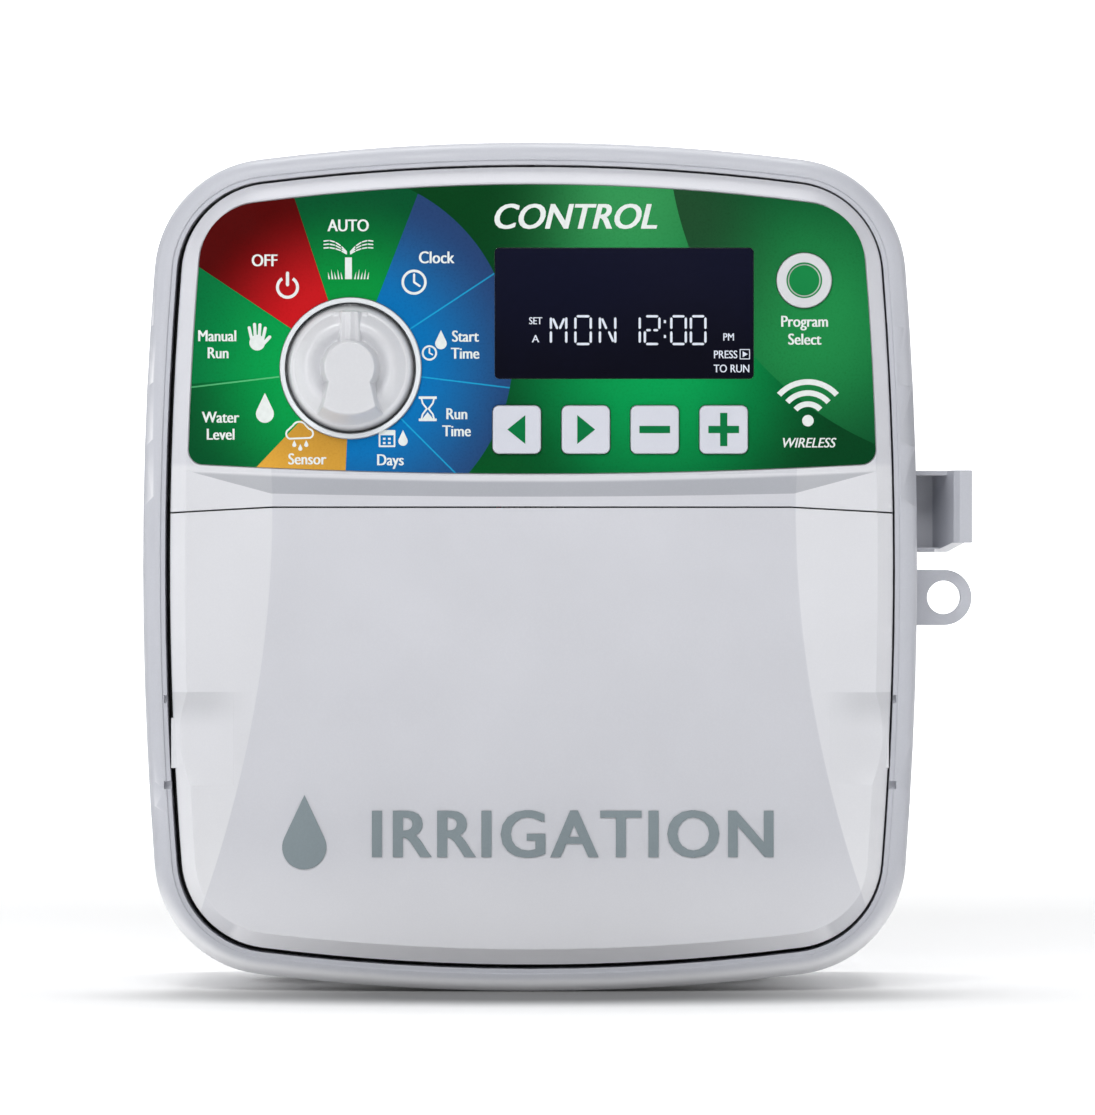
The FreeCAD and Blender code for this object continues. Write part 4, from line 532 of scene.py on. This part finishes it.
def overlay_print(name):
    """The printed film: dial sectors, the green field right of them and the darker sweep."""
    made = Finish(name)
    x, _, z = made.axes()
    across = made.calc("DIVIDE", x, MM)
    up = made.calc("DIVIDE", z, MM)
    side = made.calc("SUBTRACT", across, DIAL_X)
    rise = made.calc("SUBTRACT", up, DIAL_Z)
    turn = made.calc("FRACT", made.calc("ADD", made.calc(
        "DIVIDE", made.calc("ARCTAN2", side, rise), 2 * math.pi), 1))
    starts = [0.0] + [end / 360 for end, _, _ in SECTORS[:-1]]
    near = made.ramp(turn, [(s, c[1]) for s, c in zip(starts, SECTORS)], "CONSTANT")
    far = made.ramp(turn, [(s, c[2]) for s, c in zip(starts, SECTORS)], "CONSTANT")
    from_dial = made.distance(DIAL_X, DIAL_Z)
    dial_side = made.mix(made.rise(from_dial, 14, 42), near, far)

    # The green field right of the dial: dark at the upper left, brightest under the display.
    glow = made.rise(made.distance(30, 46), 3, 44, 1, 0)
    streak = made.rise(made.distance(24, 88), 2, 38, 1, 0)
    field = made.mix(glow, (0.0, 0.05, 0.012), (0.0, 0.31, 0.074))
    field = made.mix(made.calc("MULTIPLY", streak, 0.75), field, (0.04, 0.34, 0.10))
    dusk = made.rise(made.distance(-20, 92), 8, 40, 0.85, 0)
    field = made.mix(dusk, field, (0.0, 0.045, 0.008))
    low_dusk = made.rise(made.distance(-12, 18), 4, 30, 0.75, 0)
    field = made.mix(low_dusk, field, (0.0, 0.085, 0.016))

    # The darker sweep at the right, with its own light in the middle.
    sweep = made.mix(made.rise(made.distance(66, 58), 2, 38), (0.012, 0.24, 0.06),
                     (0.002, 0.07, 0.02))
    edge = made.calc("SUBTRACT", SWEEP_REACH, made.distance(SWEEP_CENTRE_X, SWEEP_CENTRE_Z))
    upper = made.rise(up, 45, 85)
    sweep = made.mix(made.calc("MULTIPLY", made.rise(edge, 0, 26, 0.95, 0), upper), sweep,
                     (0.012, 0.062, 0.022))
    field = made.mix(made.rise(edge, -0.05, 0.05), field, sweep)

    blue_edge = made.calc("SUBTRACT", BLUE_REACH, made.distance(BLUE_CENTRE_X, BLUE_CENTRE_Z))
    in_blue = made.rise(blue_edge, -0.05, 0.05)
    left_part = made.calc("MAXIMUM", in_blue, made.rise(turn, 0.5, 0.501))
    body = made.mix(left_part, field, dial_side)

    # Thin radial lines between sectors of one colour.
    for degrees, family in THIN_LINES:
        way_x = math.sin(math.radians(degrees))
        way_z = math.cos(math.radians(degrees))
        off = made.calc("ABSOLUTE", made.calc(
            "SUBTRACT", made.calc("MULTIPLY", side, way_z), made.calc("MULTIPLY", rise, way_x)))
        ahead = made.calc("ADD", made.calc("MULTIPLY", side, way_x),
                          made.calc("MULTIPLY", rise, way_z))
        line = made.rise(off, 0.10, 0.24, 0.85, 0)
        line = made.calc("MULTIPLY", line, made.rise(ahead, 0, 1))
        line = made.calc("MULTIPLY", line, made.rise(from_dial, 22, 60, 1, 0.45))
        line = made.calc("MULTIPLY", line, left_part)
        ink = (0.01, 0.36, 0.62) if family == "blue" else (0.10, 0.50, 0.20)
        body = made.mix(line, body, ink)

    dots = made.noise(1900, 1)
    body = made.mix(made.rise(dots, 0.4, 0.9, 0, 0.2), body, (0, 0, 0), "SOFT_LIGHT")
    normal, turning = made.soft_edge(0.2)
    # The film's edges are painted lighter: a painted edge highlight.
    body = made.mix(made.rise(turning, 0.15, 0.5, 0, 0.6), body, (0.5, 0.6, 0.52))
    matte = made.rise(made.noise(90, 3), 0.3, 0.7, 0.36, 0.44)
    return made.surface(body, matte, made.bump(made.noise(3200, 2), 0.006, normal),
                        specular=0.06)


# ---------------------------------------------------------------- flat graphics


def arc(across, up, radius, start, end, steps=24):
    """Points along an arc, in degrees clockwise from the top."""
    points = []
    for step in range(steps + 1):
        turn = math.radians(start + (end - start) * step / steps)
        points.append((across + radius * math.sin(turn), up + radius * math.cos(turn)))
    return points


class Graphic:
    """Flat shapes, in millimetres in the XZ plane, that make one thin raised mesh."""

    def __init__(self, name, out, thick):
        self.name = name
        self.out = out
        self.thick = thick
        self.faces = []

    def fill(self, outline):
        self.faces.append(outline)

    def disc(self, across, up, radius):
        self.fill(arc(across, up, radius, 0, 350, 35))

    def band(self, across, up, inner, outer, start=0, end=360):
        """Part of a ring, made of short quads."""
        steps = max(3, round(abs(end - start) / 7.5))
        rims = [arc(across, up, radius, start, end, steps) for radius in (inner, outer)]
        for step in range(steps):
            self.fill([rims[0][step], rims[0][step + 1], rims[1][step + 1], rims[1][step]])

    def bar(self, start, end, width):
        """A straight stroke with round ends."""
        way = Vector(end) - Vector(start)
        turn = math.degrees(math.atan2(way.x, way.y))
        self.fill(arc(*end, width / 2, turn - 90, turn + 90, 8)
                  + arc(*start, width / 2, turn + 90, turn + 270, 8))

    def stroke(self, points, width):
        for start, end in zip(points, points[1:]):
            self.bar(start, end, width)

    def box(self, left, low, right, high):
        self.fill([(left, low), (right, low), (right, high), (left, high)])

    def drop(self, across, up, radius):
        """A water drop: a round body that runs up to a point."""
        tip = 2.35 * radius
        side = math.degrees(math.acos(radius / tip))
        outline = arc(across, up, radius, side, 360 - side, 22)
        self.fill(outline + [(across, up + tip)])

    def build(self, body, slot, material, lift=None):
        """Makes the mesh. Lift gives the face's out at a height z, where the face isn't flat. Each
        outline stands a hair above the last, so that outlines that overlap don't share a plane."""
        hair, most = 0.0011, 0.012
        shapes = bmesh.new()
        for outline in self.faces:
            front = [shapes.verts.new((x, 0, z)) for x, z in outline]
            face = shapes.faces.new(front)
            bmesh.ops.extrude_face_region(shapes, geom=[face], use_keep_orig=True)
        count = 0
        step = 0
        for outline in self.faces:
            shapes.verts.ensure_lookup_table()
            for index, vert in enumerate(shapes.verts[count:count + 2 * len(outline)]):
                level = lift(vert.co.z) if lift else self.out
                out = level + (self.thick + step if index < len(outline) else 0)
                vert.co = Vector((vert.co.x, -out, vert.co.z)) * MM
            count += 2 * len(outline)
            step = (step + hair) % most
        bmesh.ops.recalc_face_normals(shapes, faces=shapes.faces)
        return finish_piece(self.name, shapes, body, material)


def finish_piece(name, shapes, body, material, smooth=False):
    """Turns shapes into a named object that rides a body."""
    mesh = bpy.data.meshes.new(name)
    shapes.to_mesh(mesh)
    shapes.free()
    if smooth:
        mesh.polygons.foreach_set("use_smooth", [True] * len(mesh.polygons))
    piece = bpy.data.objects.new(name, mesh)
    bpy.context.scene.collection.objects.link(piece)
    mesh.materials.append(material)
    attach(piece, body)
    return piece


CAPITAL_SHARE = 0.72


class Lettering:
    """Words in the built-in typeface, joined into one thin raised mesh. Its capitals are
    CAPITAL_SHARE of its size."""

    def __init__(self, name, out, thick):
        self.name = name
        self.out = out
        self.thick = thick
        self.shapes = bmesh.new()

    def word(self, text, across, up, height, bold=0.0, **shape):
        """Capitals of the given height whose middle stands at (across, up). They are struck twice,
        a little apart, for weight, the second a hair above the first."""
        hair = 0.006
        for index, side in enumerate((-1, 1)):
            self.strike(text, across + side * bold, up, height, hair * index, **shape)

    def strike(self, text, across, up, height, raised, swell=0.0, slant=0.0, spread=1.0,
               squeeze=1.0, anchor="CENTER"):
        curve = bpy.data.curves.new("word", "FONT")
        curve.body = text
        curve.align_x = anchor
        curve.size = height / CAPITAL_SHARE
        curve.offset = swell
        curve.shear = slant
        curve.space_character = spread
        curve.resolution_u = 4
        curve.extrude = self.thick / 2
        curve.fill_mode = "BOTH"
        holder = bpy.data.objects.new("word", curve)
        bpy.context.scene.collection.objects.link(holder)
        bpy.context.view_layer.update()
        mesh = bpy.data.meshes.new_from_object(holder.evaluated_get(
            bpy.context.evaluated_depsgraph_get()))
        bpy.data.objects.remove(holder)
        bpy.data.curves.remove(curve)
        mesh.transform(Matrix.Rotation(math.radians(90), 4, "X")
                       @ Matrix.Diagonal((squeeze, 1, 1, 1)))
        mesh.transform(Matrix.Translation((across, -self.out - self.thick / 2 - raised,
                                           up - height / 2)))
        self.shapes.from_mesh(mesh)
        bpy.data.meshes.remove(mesh)

    def build(self, body, slot, material, lift=None):
        for vert in self.shapes.verts:
            if lift:
                vert.co.y -= lift(vert.co.z) - self.out
            vert.co *= MM
        bmesh.ops.remove_doubles(self.shapes, verts=self.shapes.verts, dist=1e-7)
        return finish_piece(self.name, self.shapes, body, material)


def ink(name, colour, roughness=0.4, glow=0.0, specular=0.5):
    """Screen-printed ink: slightly uneven, on the same soft grain as the film."""
    made = Finish(name)
    cover = made.noise(700, 3)
    thin = tuple(channel * 0.9 for channel in colour)
    body = made.ramp(cover, [(0.25, thin), (0.6, colour)])
    matte = made.rise(made.noise(150, 2), 0.3, 0.7, roughness - 0.04, roughness + 0.05)
    return made.surface(body, matte, made.bump(made.noise(3200, 2), 0.004), glow=glow,
                        specular=specular)


# ---------------------------------------------------------------- knob

KNOB_RADIUS = 15.0
KNOB_DEPTH = 12.05
SOCKET_RADIUS = 3.02
SOCKET_END = 80.0
TINY = 0.02


def ease(share):
    share = min(max(share, 0), 1)
    return share * share * (3 - 2 * share)


def soft_max(first, second, blend):
    """The larger of two heights, with a rounded inner corner where they meet."""
    share = min(max(0.5 + 0.5 * (first - second) / blend, 0), 1)
    return second + (first - second) * share + blend * share * (1 - share)


def skirt_height(radius):
    """The turned part of the knob: round shoulder, shallow dome, crown ring and scoop."""
    shoulder, crown, scoop = 13.1, 9.8, 5.6
    if radius > shoulder:
        return 74.7 + 3.9 * math.sqrt(max(0, 1 - ((radius - shoulder) / 1.95) ** 2))
    if radius > crown:
        return 78.6 + 1.8 * math.sin(math.pi / 2 * ((shoulder - radius) / 3.3) ** 1.1)
    return 78.5 + 1.9 * ease((radius - scoop) / 4.2) ** 1.2


def grip_height(across, up):
    """The raised grip: a round hub with a handle that widens downwards, all with drafted sides."""
    hub_radius, end_radius, draft = 5.7, 10.7, 1.45
    top, fall = 85.4, 6.6
    radius = math.hypot(across, up)
    hub = radius - hub_radius
    slope = 0.227
    half = 4.6 + slope * max(0, -up - 3.2)
    handle = (abs(across) - half) / math.hypot(1, slope)
    if up > -1:
        handle = max(handle, math.hypot(max(0, abs(across) - half), up + 1))
    side = min(hub, handle)
    end = (radius - end_radius) * 0.5
    outside = max(side, end)
    return top - fall * ease(outside / draft) if outside < 1.3 else 0


def pointer_height(across, up):
    """The pointer: a flat strip with a sharp ridge along it, dying into the hub."""
    if up < 2 or abs(across) > 4:
        return 0
    half = 2.5 - 0.05 * up
    strip = 81.15 - 2.2 * ease((abs(across) - half) / 0.9 + 0.1)
    ridge = 0.75 * max(0, 1 - abs(across - 0.1) / 1.05)
    stop = ease((up - 13.0) / 0.7)
    return strip + ridge - 4.5 * stop


def knob_height(across, up):
    """How far out the knob's front is at a place measured from its axis, in millimetres."""
    height = skirt_height(math.hypot(across, up))
    height = soft_max(pointer_height(across, up), height, 0.25)
    return soft_max(grip_height(across, up), height, 0.35)


def knob_painted_shade(made, body):
    """Painted shade on the foot of the skirt, down in the gap."""
    foot = made.rise(made.distance(DIAL_X, DIAL_Z), 13.7, 14.95, 0, 0.85)
    return made.mix(foot, body, (0.08, 0.08, 0.088))


def make_knob():
    """One closed sheet: rings over the front, down the skirt, and back into the shaft's socket."""
    rings = 110
    spokes = 384
    back = front_of("dial_knob") - KNOB_DEPTH
    shapes = bmesh.new()
    rows = []
    for ring in range(rings + 1):
        share = ring / rings
        radius = max(TINY, KNOB_RADIUS * (1 - (1 - share) ** 1.15))
        row = []
        for spoke in range(spokes):
            turn = 2 * math.pi * spoke / spokes
            across = radius * math.sin(turn)
            up = radius * math.cos(turn)
            row.append((across, knob_height(across, up), up))
        rows.append(row)
    for radius, out in ((KNOB_RADIUS, back), (SOCKET_RADIUS, back), (SOCKET_RADIUS, SOCKET_END),
                        (TINY, SOCKET_END)):
        rows.append([(radius * math.sin(2 * math.pi * spoke / spokes), out,
                      radius * math.cos(2 * math.pi * spoke / spokes))
                     for spoke in range(spokes)])
    grid = [[shapes.verts.new(Vector((DIAL_X + x, -out, DIAL_Z + z)) * MM) for x, out, z in row]
            for row in rows]
    for inner, outer in zip(grid, grid[1:]):
        for spoke in range(spokes):
            following = (spoke + 1) % spokes
            shapes.faces.new((inner[spoke], inner[following], outer[following], outer[spoke]))
    shapes.faces.new(grid[0])
    shapes.faces.new(grid[-1][::-1])
    bmesh.ops.recalc_face_normals(shapes, faces=shapes.faces)
    skin = plastic("knob_plastic", (0.63, 0.635, 0.66), 0.33, grain=0.003, grain_scale=1800,
                   spread=0.015, round_edge=0.15, coat=0.15, tone=knob_painted_shade)
    knob = finish_piece("knob", shapes, "dial", skin, smooth=True)
    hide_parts("dial_knob")


# ---------------------------------------------------------------- print on the overlay

FILM_FRONT = front_of("overlay_film")
PRINT_THICK = 0.05


def make_labels(white):
    labels = Lettering("overlay_lettering", FILM_FRONT, PRINT_THICK)
    words = [("AUTO", -42.6, 80.2, 2.9), ("OFF", -62.3, 72.0, 2.9), ("Clock", -22.0, 72.7, 2.9),
             ("Start", -15.2, 54.2, 2.7), ("Time", -15.2, 50.2, 2.7),
             ("Run", -17.2, 36.0, 2.7), ("Time", -17.2, 32.0, 2.7), ("Days", -32.8, 25.2, 2.7),
             ("Sensor", -52.3, 25.4, 2.7), ("Water", -72.6, 35.2, 2.7),
             ("Level", -72.6, 31.2, 2.7), ("Manual", -73.4, 54.3, 2.7),
             ("Run", -73.2, 50.3, 2.7), ("Program", 64.4, 57.7, 2.7),
             ("Select", 64.4, 53.5, 2.7)]
    for text, across, up, height in words:
        labels.word(text, across, up, height, bold=0.09, squeeze=0.86)
    labels.word("CONTROL", 10.2, 82.4, 6.0, bold=0.16, swell=0.05, slant=0.25, squeeze=0.96)
    labels.word("WIRELESS", 65.2, 29.2, 2.35, bold=0.05, slant=0.25, squeeze=0.9)
    labels.build("housing", "overlay_print", white)


def make_icons(white):
    icons = Graphic("overlay_symbols", FILM_FRONT, PRINT_THICK)
    # Off: a broken ring with a stroke through its top
    icons.band(-56.9, 65.6, 2.0, 2.7, 32, 328)
    icons.bar((-56.9, 66.2), (-56.9, 68.9), 0.75)
    # Auto: a riser with dashed spray to both sides, over grass
    icons.box(-43.4, 67.5, -41.8, 72.6)
    for side in (-1, 1):
        for level in range(3):
            for dash in range(4):
                ends = []
                for reach in (0.5 + 1.4 * dash, 1.5 + 1.4 * dash):
                    height = 73.1 + (0.75 + 0.3 * level) * reach * (1 - 0.105 * reach)
                    ends.append((-42.6 + side * reach, height + 0.12 * level))
                icons.bar(*ends, 0.3)
        for blade in range(5):
            foot = -42.6 + side * (1.5 + 0.75 * blade)
            icons.fill([(foot - 0.2, 67.5), (foot + 0.2, 67.5),
                        (foot + side * 0.3, 69.2 + 0.7 * (blade % 2))])
    # Clock
    icons.band(-27.2, 66.8, 2.35, 2.95)
    icons.stroke([(-27.2, 68.6), (-27.2, 66.8), (-25.9, 65.9)], 0.5)
    # Start: a drop beside a clock
    icons.drop(-20.9, 52.4, 1.35)
    icons.band(-23.6, 50.2, 1.35, 1.8)
    icons.stroke([(-23.6, 51.2), (-23.6, 50.2), (-22.9, 49.8)], 0.35)
    # Run: an hourglass
    for side in (-1, 1):
        icons.box(-26.1, 37.1 + side * 2.6 - 0.3, -21.9, 37.1 + side * 2.6 + 0.3)
        icons.stroke([(-25.5, 37.1 + side * 2.5), (-25.2, 37.1 + side * 1.3), (-24.2, 37.1)], 0.4)
        icons.stroke([(-22.5, 37.1 + side * 2.5), (-22.8, 37.1 + side * 1.3), (-23.8, 37.1)], 0.4)
    icons.fill([(-25.2, 34.8), (-22.8, 34.8), (-24.0, 36.3)])
    # Days: a calendar page with a drop
    icons.stroke([(-35.3, 28.3), (-35.3, 31.9), (-31.8, 31.9), (-31.8, 28.3), (-35.3, 28.3)], 0.4)
    icons.box(-35.3, 30.9, -31.8, 31.9)
    for column in range(2):
        for row in range(2):
            icons.box(-34.5 + 1.2 * column, 28.8 + 1.0 * row, -33.9 + 1.2 * column,
                      29.3 + 1.0 * row)
    icons.drop(-29.8, 29.5, 1.1)
    # Sensor: a cloud with three drops
    cloud = arc(-56.0, 31.2, 1.2, 200, 330, 10) + arc(-54.1, 32.3, 1.75, -60, 60, 14)
    cloud += arc(-52.0, 31.3, 1.1, 10, 160, 10)
    icons.stroke(cloud + [cloud[0]], 0.42)
    for across, up in ((-55.3, 28.6), (-53.9, 27.7), (-52.5, 28.6)):
        icons.drop(across, up, 0.48)
    # Water level: a drop
    icons.drop(-62.2, 35.9, 2.1)
    # Manual: an open hand
    icons.fill(arc(-64.0, 52.6, 1.85, 0, 350, 24))
    for lean, reach in ((-1.4, 3.3), (-0.47, 4.1), (0.47, 4.0), (1.4, 3.2)):
        icons.bar((-64.0 + lean * 0.9, 53.2), (-64.0 + lean * 1.35, 52.8 + reach), 0.72)
    icons.bar((-62.7, 52.2), (-61.1, 53.9), 0.8)
    # Wireless: a dot under three arcs
    icons.disc(65.2, 34.3, 1.35)
    for reach in (4.0, 6.6, 9.2):
        icons.band(65.2, 34.3, reach - 0.75, reach + 0.55, -48, 48)
    icons.build("housing", "overlay_print", white)


def make_key_symbols():
    green = ink("symbol_green", (0.0, 0.165, 0.045), 0.45, specular=0.08)
    for name in ("key_left", "key_right", "key_minus", "key_plus"):
        across, up = middle(name)
        symbol = Graphic(name + "_symbol", front_of(name), PRINT_THICK)
        if name in ("key_left", "key_right"):
            way = 1 if name == "key_right" else -1
            tip = (across + way * 2.2, up)
            foot = across - way * 2.0
            symbol.fill([(foot, up - 3.4), tip, (foot, up + 3.4)][::way])
        else:
            symbol.box(across - 3.6, up - 0.85, across + 3.6, up + 0.85)
        if name == "key_plus":
            symbol.box(across - 0.85, up + 0.85, across + 0.85, up + 3.9)
            symbol.box(across - 0.85, up - 3.9, across + 0.85, up - 0.85)
        symbol.build(name, "overlay_print", green)


def program_key(name):
    """Light grey key with a green middle and a thin light ring in it."""
    made = Finish(name)
    reach = made.distance(*middle("key_program"))
    grain = made.noise(2600, 2)
    grey = made.ramp(made.noise(60, 3), [(0.3, (0.60, 0.605, 0.63)), (0.7, (0.64, 0.645, 0.67))])
    green = made.mix(made.noise(60, 2), (0.004, 0.20, 0.05), (0.008, 0.24, 0.06))
    in_green = made.rise(reach, 4.15, 4.25, 1, 0)
    in_ring = made.calc("MULTIPLY", made.rise(reach, 3.5, 3.6), made.rise(reach, 3.8, 3.9, 1, 0))
    body = made.mix(in_green, grey, green)
    body = made.mix(made.calc("MULTIPLY", in_ring, 0.85), body, (0.62, 0.66, 0.63))
    normal, _ = made.soft_edge(0.3)
    gloss = made.rise(in_green, 0, 1, 0.5, 0.08)
    return made.surface(body, 0.42, made.bump(grain, 0.004, normal), specular=gloss)


# ---------------------------------------------------------------- display

# The lit segments of each character: a to f run round it from the top, g and k cross its middle,
# h, j and m are slanting.
SEGMENTS = {
    "M": "bcefhj", "O": "abcdef", "N": "bcefhm", "1": "bc", "2": "abgked", "0": "abcdef"}


def segment_digit(graphic, text, left, low, width, height):
    """One character of a fourteen-segment display, each segment a tapered bar."""
    right = left + width
    high = low + height
    centre = (low + high) / 2
    mid = (left + right) / 2
    gap = 0.22
    thick = 0.55
    bars = {
        "a": ((left + gap, high), (right - gap, high)),
        "d": ((left + gap, low), (right - gap, low)),
        "f": ((left, high - gap), (left, centre + gap)),
        "e": ((left, centre - gap), (left, low + gap)),
        "b": ((right, high - gap), (right, centre + gap)),
        "c": ((right, centre - gap), (right, low + gap)),
        "g": ((left + gap, centre), (mid - gap, centre)),
        "k": ((mid + gap, centre), (right - gap, centre)),
        "h": ((left + 2 * gap, high - 2 * gap), (mid - gap, centre + gap)),
        "j": ((right - 2 * gap, high - 2 * gap), (mid + gap, centre + gap)),
        "m": ((mid + gap, centre - gap), (right - 2 * gap, low + 2 * gap))}
    for segment in SEGMENTS[text]:
        start, end = (Vector(point) for point in bars[segment])
        way = (end - start).normalized()
        side = Vector((-way.y, way.x)) * thick / 2
        tip = way * thick / 2
        outline = [start, start + tip + side, end - tip + side, end, end - tip - side,
                   start + tip - side]
        graphic.fill([tuple(point) for point in outline])


def make_display():
    lit = ink("lcd_segments", (0.60, 0.64, 0.72), 0.3, glow=0.18)
    out = front_of("lcd_window")
    digits = Graphic("lcd_characters", out, 0.02)
    foot, tall = 52.3, 6.5
    place = 4.9
    for text in "MON":
        segment_digit(digits, text, place, foot, 3.6, tall)
        place += 5.75
    place += 0.2
    for text in "12:00":
        if text == ":":
            digits.box(place - 0.15, 57.2, place + 0.35, 57.9)
            digits.box(place - 0.15, 53.7, place + 0.35, 54.4)
            place += 1.6
            continue
        segment_digit(digits, text, place, foot, 3.4, tall)
        place += 4.6
    digits.stroke([(49.3, 48.8), (49.3, 51.0), (51.5, 51.0), (51.5, 48.8), (49.3, 48.8)], 0.2)
    digits.fill([(49.9, 49.2), (51.1, 49.9), (49.9, 50.6)])
    digits.build("housing", "lcd_dark", lit)
    small = Lettering("lcd_words", out, 0.02)
    small.word("SET", 1.3, 57.8, 1.7, bold=0.03, squeeze=0.85)
    small.word("A", 1.3, 53.6, 1.8, bold=0.03)
    small.word("PM", 46.6, 54.0, 1.8, bold=0.03, squeeze=0.85)
    small.word("PRESS", 48.7, 49.9, 1.9, bold=0.03, squeeze=0.85, anchor="RIGHT")
    small.word("TO RUN", 51.6, 46.6, 1.9, bold=0.03, squeeze=0.85, anchor="RIGHT")
    small.build("housing", "lcd_dark", lit)


# ---------------------------------------------------------------- emblem on the cover

def cover_face(up):
    """How far out the sunken middle of the cover is at a height, in millimetres."""
    return PANEL_FACE - BOWL_DEPTH + BOWL_RADIUS - math.sqrt(
        BOWL_RADIUS ** 2 - (up - BOWL_Z) ** 2)


def make_emblem():
    slate = plastic("emblem_slate", (0.20, 0.245, 0.265), 0.5, grain=0.006, grain_scale=2200,
                    spread=0.05, round_edge=0.12, edge_wear_and_highlight=0.3)
    word = Lettering("cover_word", 0, 0.35)
    word.word("IRRIGATION", 10.0, -62.4, 11.2, bold=0.3, swell=0.12, spread=1.13)
    word.build("wiring_cover", "panel_grey", slate, lift=cover_face)
    mark = Graphic("cover_mark", 0, 0.35)
    mark.drop(-53.0, -65.8, 5.2)
    mark.build("wiring_cover", "panel_grey", slate, lift=cover_face)


# ---------------------------------------------------------------- finishes for the CAD parts


def paint(material, *nodes):
    """Puts one material on the whole of each named CAD part."""
    for name in nodes:
        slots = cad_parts[name].data.materials
        if not len(slots):
            slots.append(material)
        for index in range(len(slots)):
            slots[index] = material


def paint_parts():
    # The housing's strong edge setting is a painted highlight along the rim's ridge; its tone is
    # painted light on faces that look down.
    shell = plastic("housing_plastic", (0.49, 0.50, 0.545), 0.44, grain=0.008, spread=0.02,
                    edge_wear_and_highlight=0.4, tone=housing_painted_light)
    paint(shell, "rear_housing")
    panel = plastic("panel_plastic", (0.575, 0.58, 0.62), 0.38, grain=0.008, spread=0.02,
                    tone=panel_painted_light)
    paint(panel, "fascia", "wiring_cover")
    black = plastic("chassis_plastic", (0.012, 0.012, 0.014), 0.5, grain=0.015, spread=0.2)
    paint(black, "chassis_tray", "mains_lid")
    nylon_black = plastic("nylon_black", (0.018, 0.018, 0.018), 0.42, grain=0.01, spread=0.2)
    paint(nylon_black, "lcd_frame", "accessory_port", "reset_switch", "battery_holder")
    nylon_white = plastic("nylon_white", (0.62, 0.62, 0.59), 0.45, grain=0.01, spread=0.05)
    paint(nylon_white, "lcd_backlight", "ribbon_sockets", "mains_terminal_block", "power_plug",
          "dial_shaft", "detent_wheel", "dial_wiper")
    package = plastic("chip_package", (0.015, 0.015, 0.016), 0.55, grain=0.02, grain_scale=1500)
    paint(package, "microcontroller", "display_driver")
    paint(plastic("terminal_plastic", (0.02, 0.20, 0.05), 0.42, spread=0.08), "terminal_block")
    paint(plastic("disc_lacquer", (0.02, 0.075, 0.33), 0.2, grain=0.03, grain_scale=500,
                  spread=0.15, coat=0.6), "surge_discs")
    paint(plastic("reset_plastic", (0.42, 0.012, 0.012), 0.35, coat=0.2), "reset_button")
    key_skin = plastic("key_plastic", (0.60, 0.615, 0.68), 0.42, grain=0.005, spread=0.02)
    paint(key_skin, "key_left", "key_right", "key_minus", "key_plus")
    paint(program_key("program_key_print"), "key_program")
    paint(overlay_print("overlay_artwork"), "overlay_film")
    paint(tinted_window("window_glass"), "lcd_window")
    paint(liquid_crystal("display_cell"), "lcd_glass")
    paint(rubber("contact_layers"), "lcd_contact_strips")
    paint(circuit_board("board_mask"), "control_board", "terminal_board")
    paint(metal("capacitor_sleeve", (0.35, 0.36, 0.42), 0.3, brushed=1), "capacitors")
    paint(metal("spring_steel", (0.62, 0.61, 0.58), 0.25, brushed=0.5), "key_domes",
          "detent_spring", "battery_contact")
    paint(metal("gold_plate", (0.83, 0.58, 0.22), 0.22), "dial_contacts", "port_pins")
    paint(metal("zinc_plate", (0.60, 0.60, 0.58), 0.32, brushed=0.4), "board_screws",
          "terminal_board_screws", "terminal_screws", "transformer_strap", "transformer_screws",
          "mains_terminal_screws", "mains_lid_screw", "chassis_screws", "fascia_screws")
    paint(laminations("core_sheets"), "transformer_core")
    paint(winding_tape("coil_tape"), "transformer_coil")
    paint(ribbon_skin("ribbon_skin"), "ribbon_lead")
    paint(lead_skin("lead_black", (0.02, 0.02, 0.02)), "primary_leads")
    paint(lead_skin("lead_yellow", (0.62, 0.42, 0.03)), "secondary_leads")
    paint(cell_can("cell_can"), "coin_cell")


make_camera()
make_lights()
make_floor()
paint_parts()
make_knob()
white_ink = ink("print_white", (0.74, 0.78, 0.76), 0.42)
make_labels(white_ink)
make_icons(white_ink)
make_key_symbols()
make_display()
make_emblem()
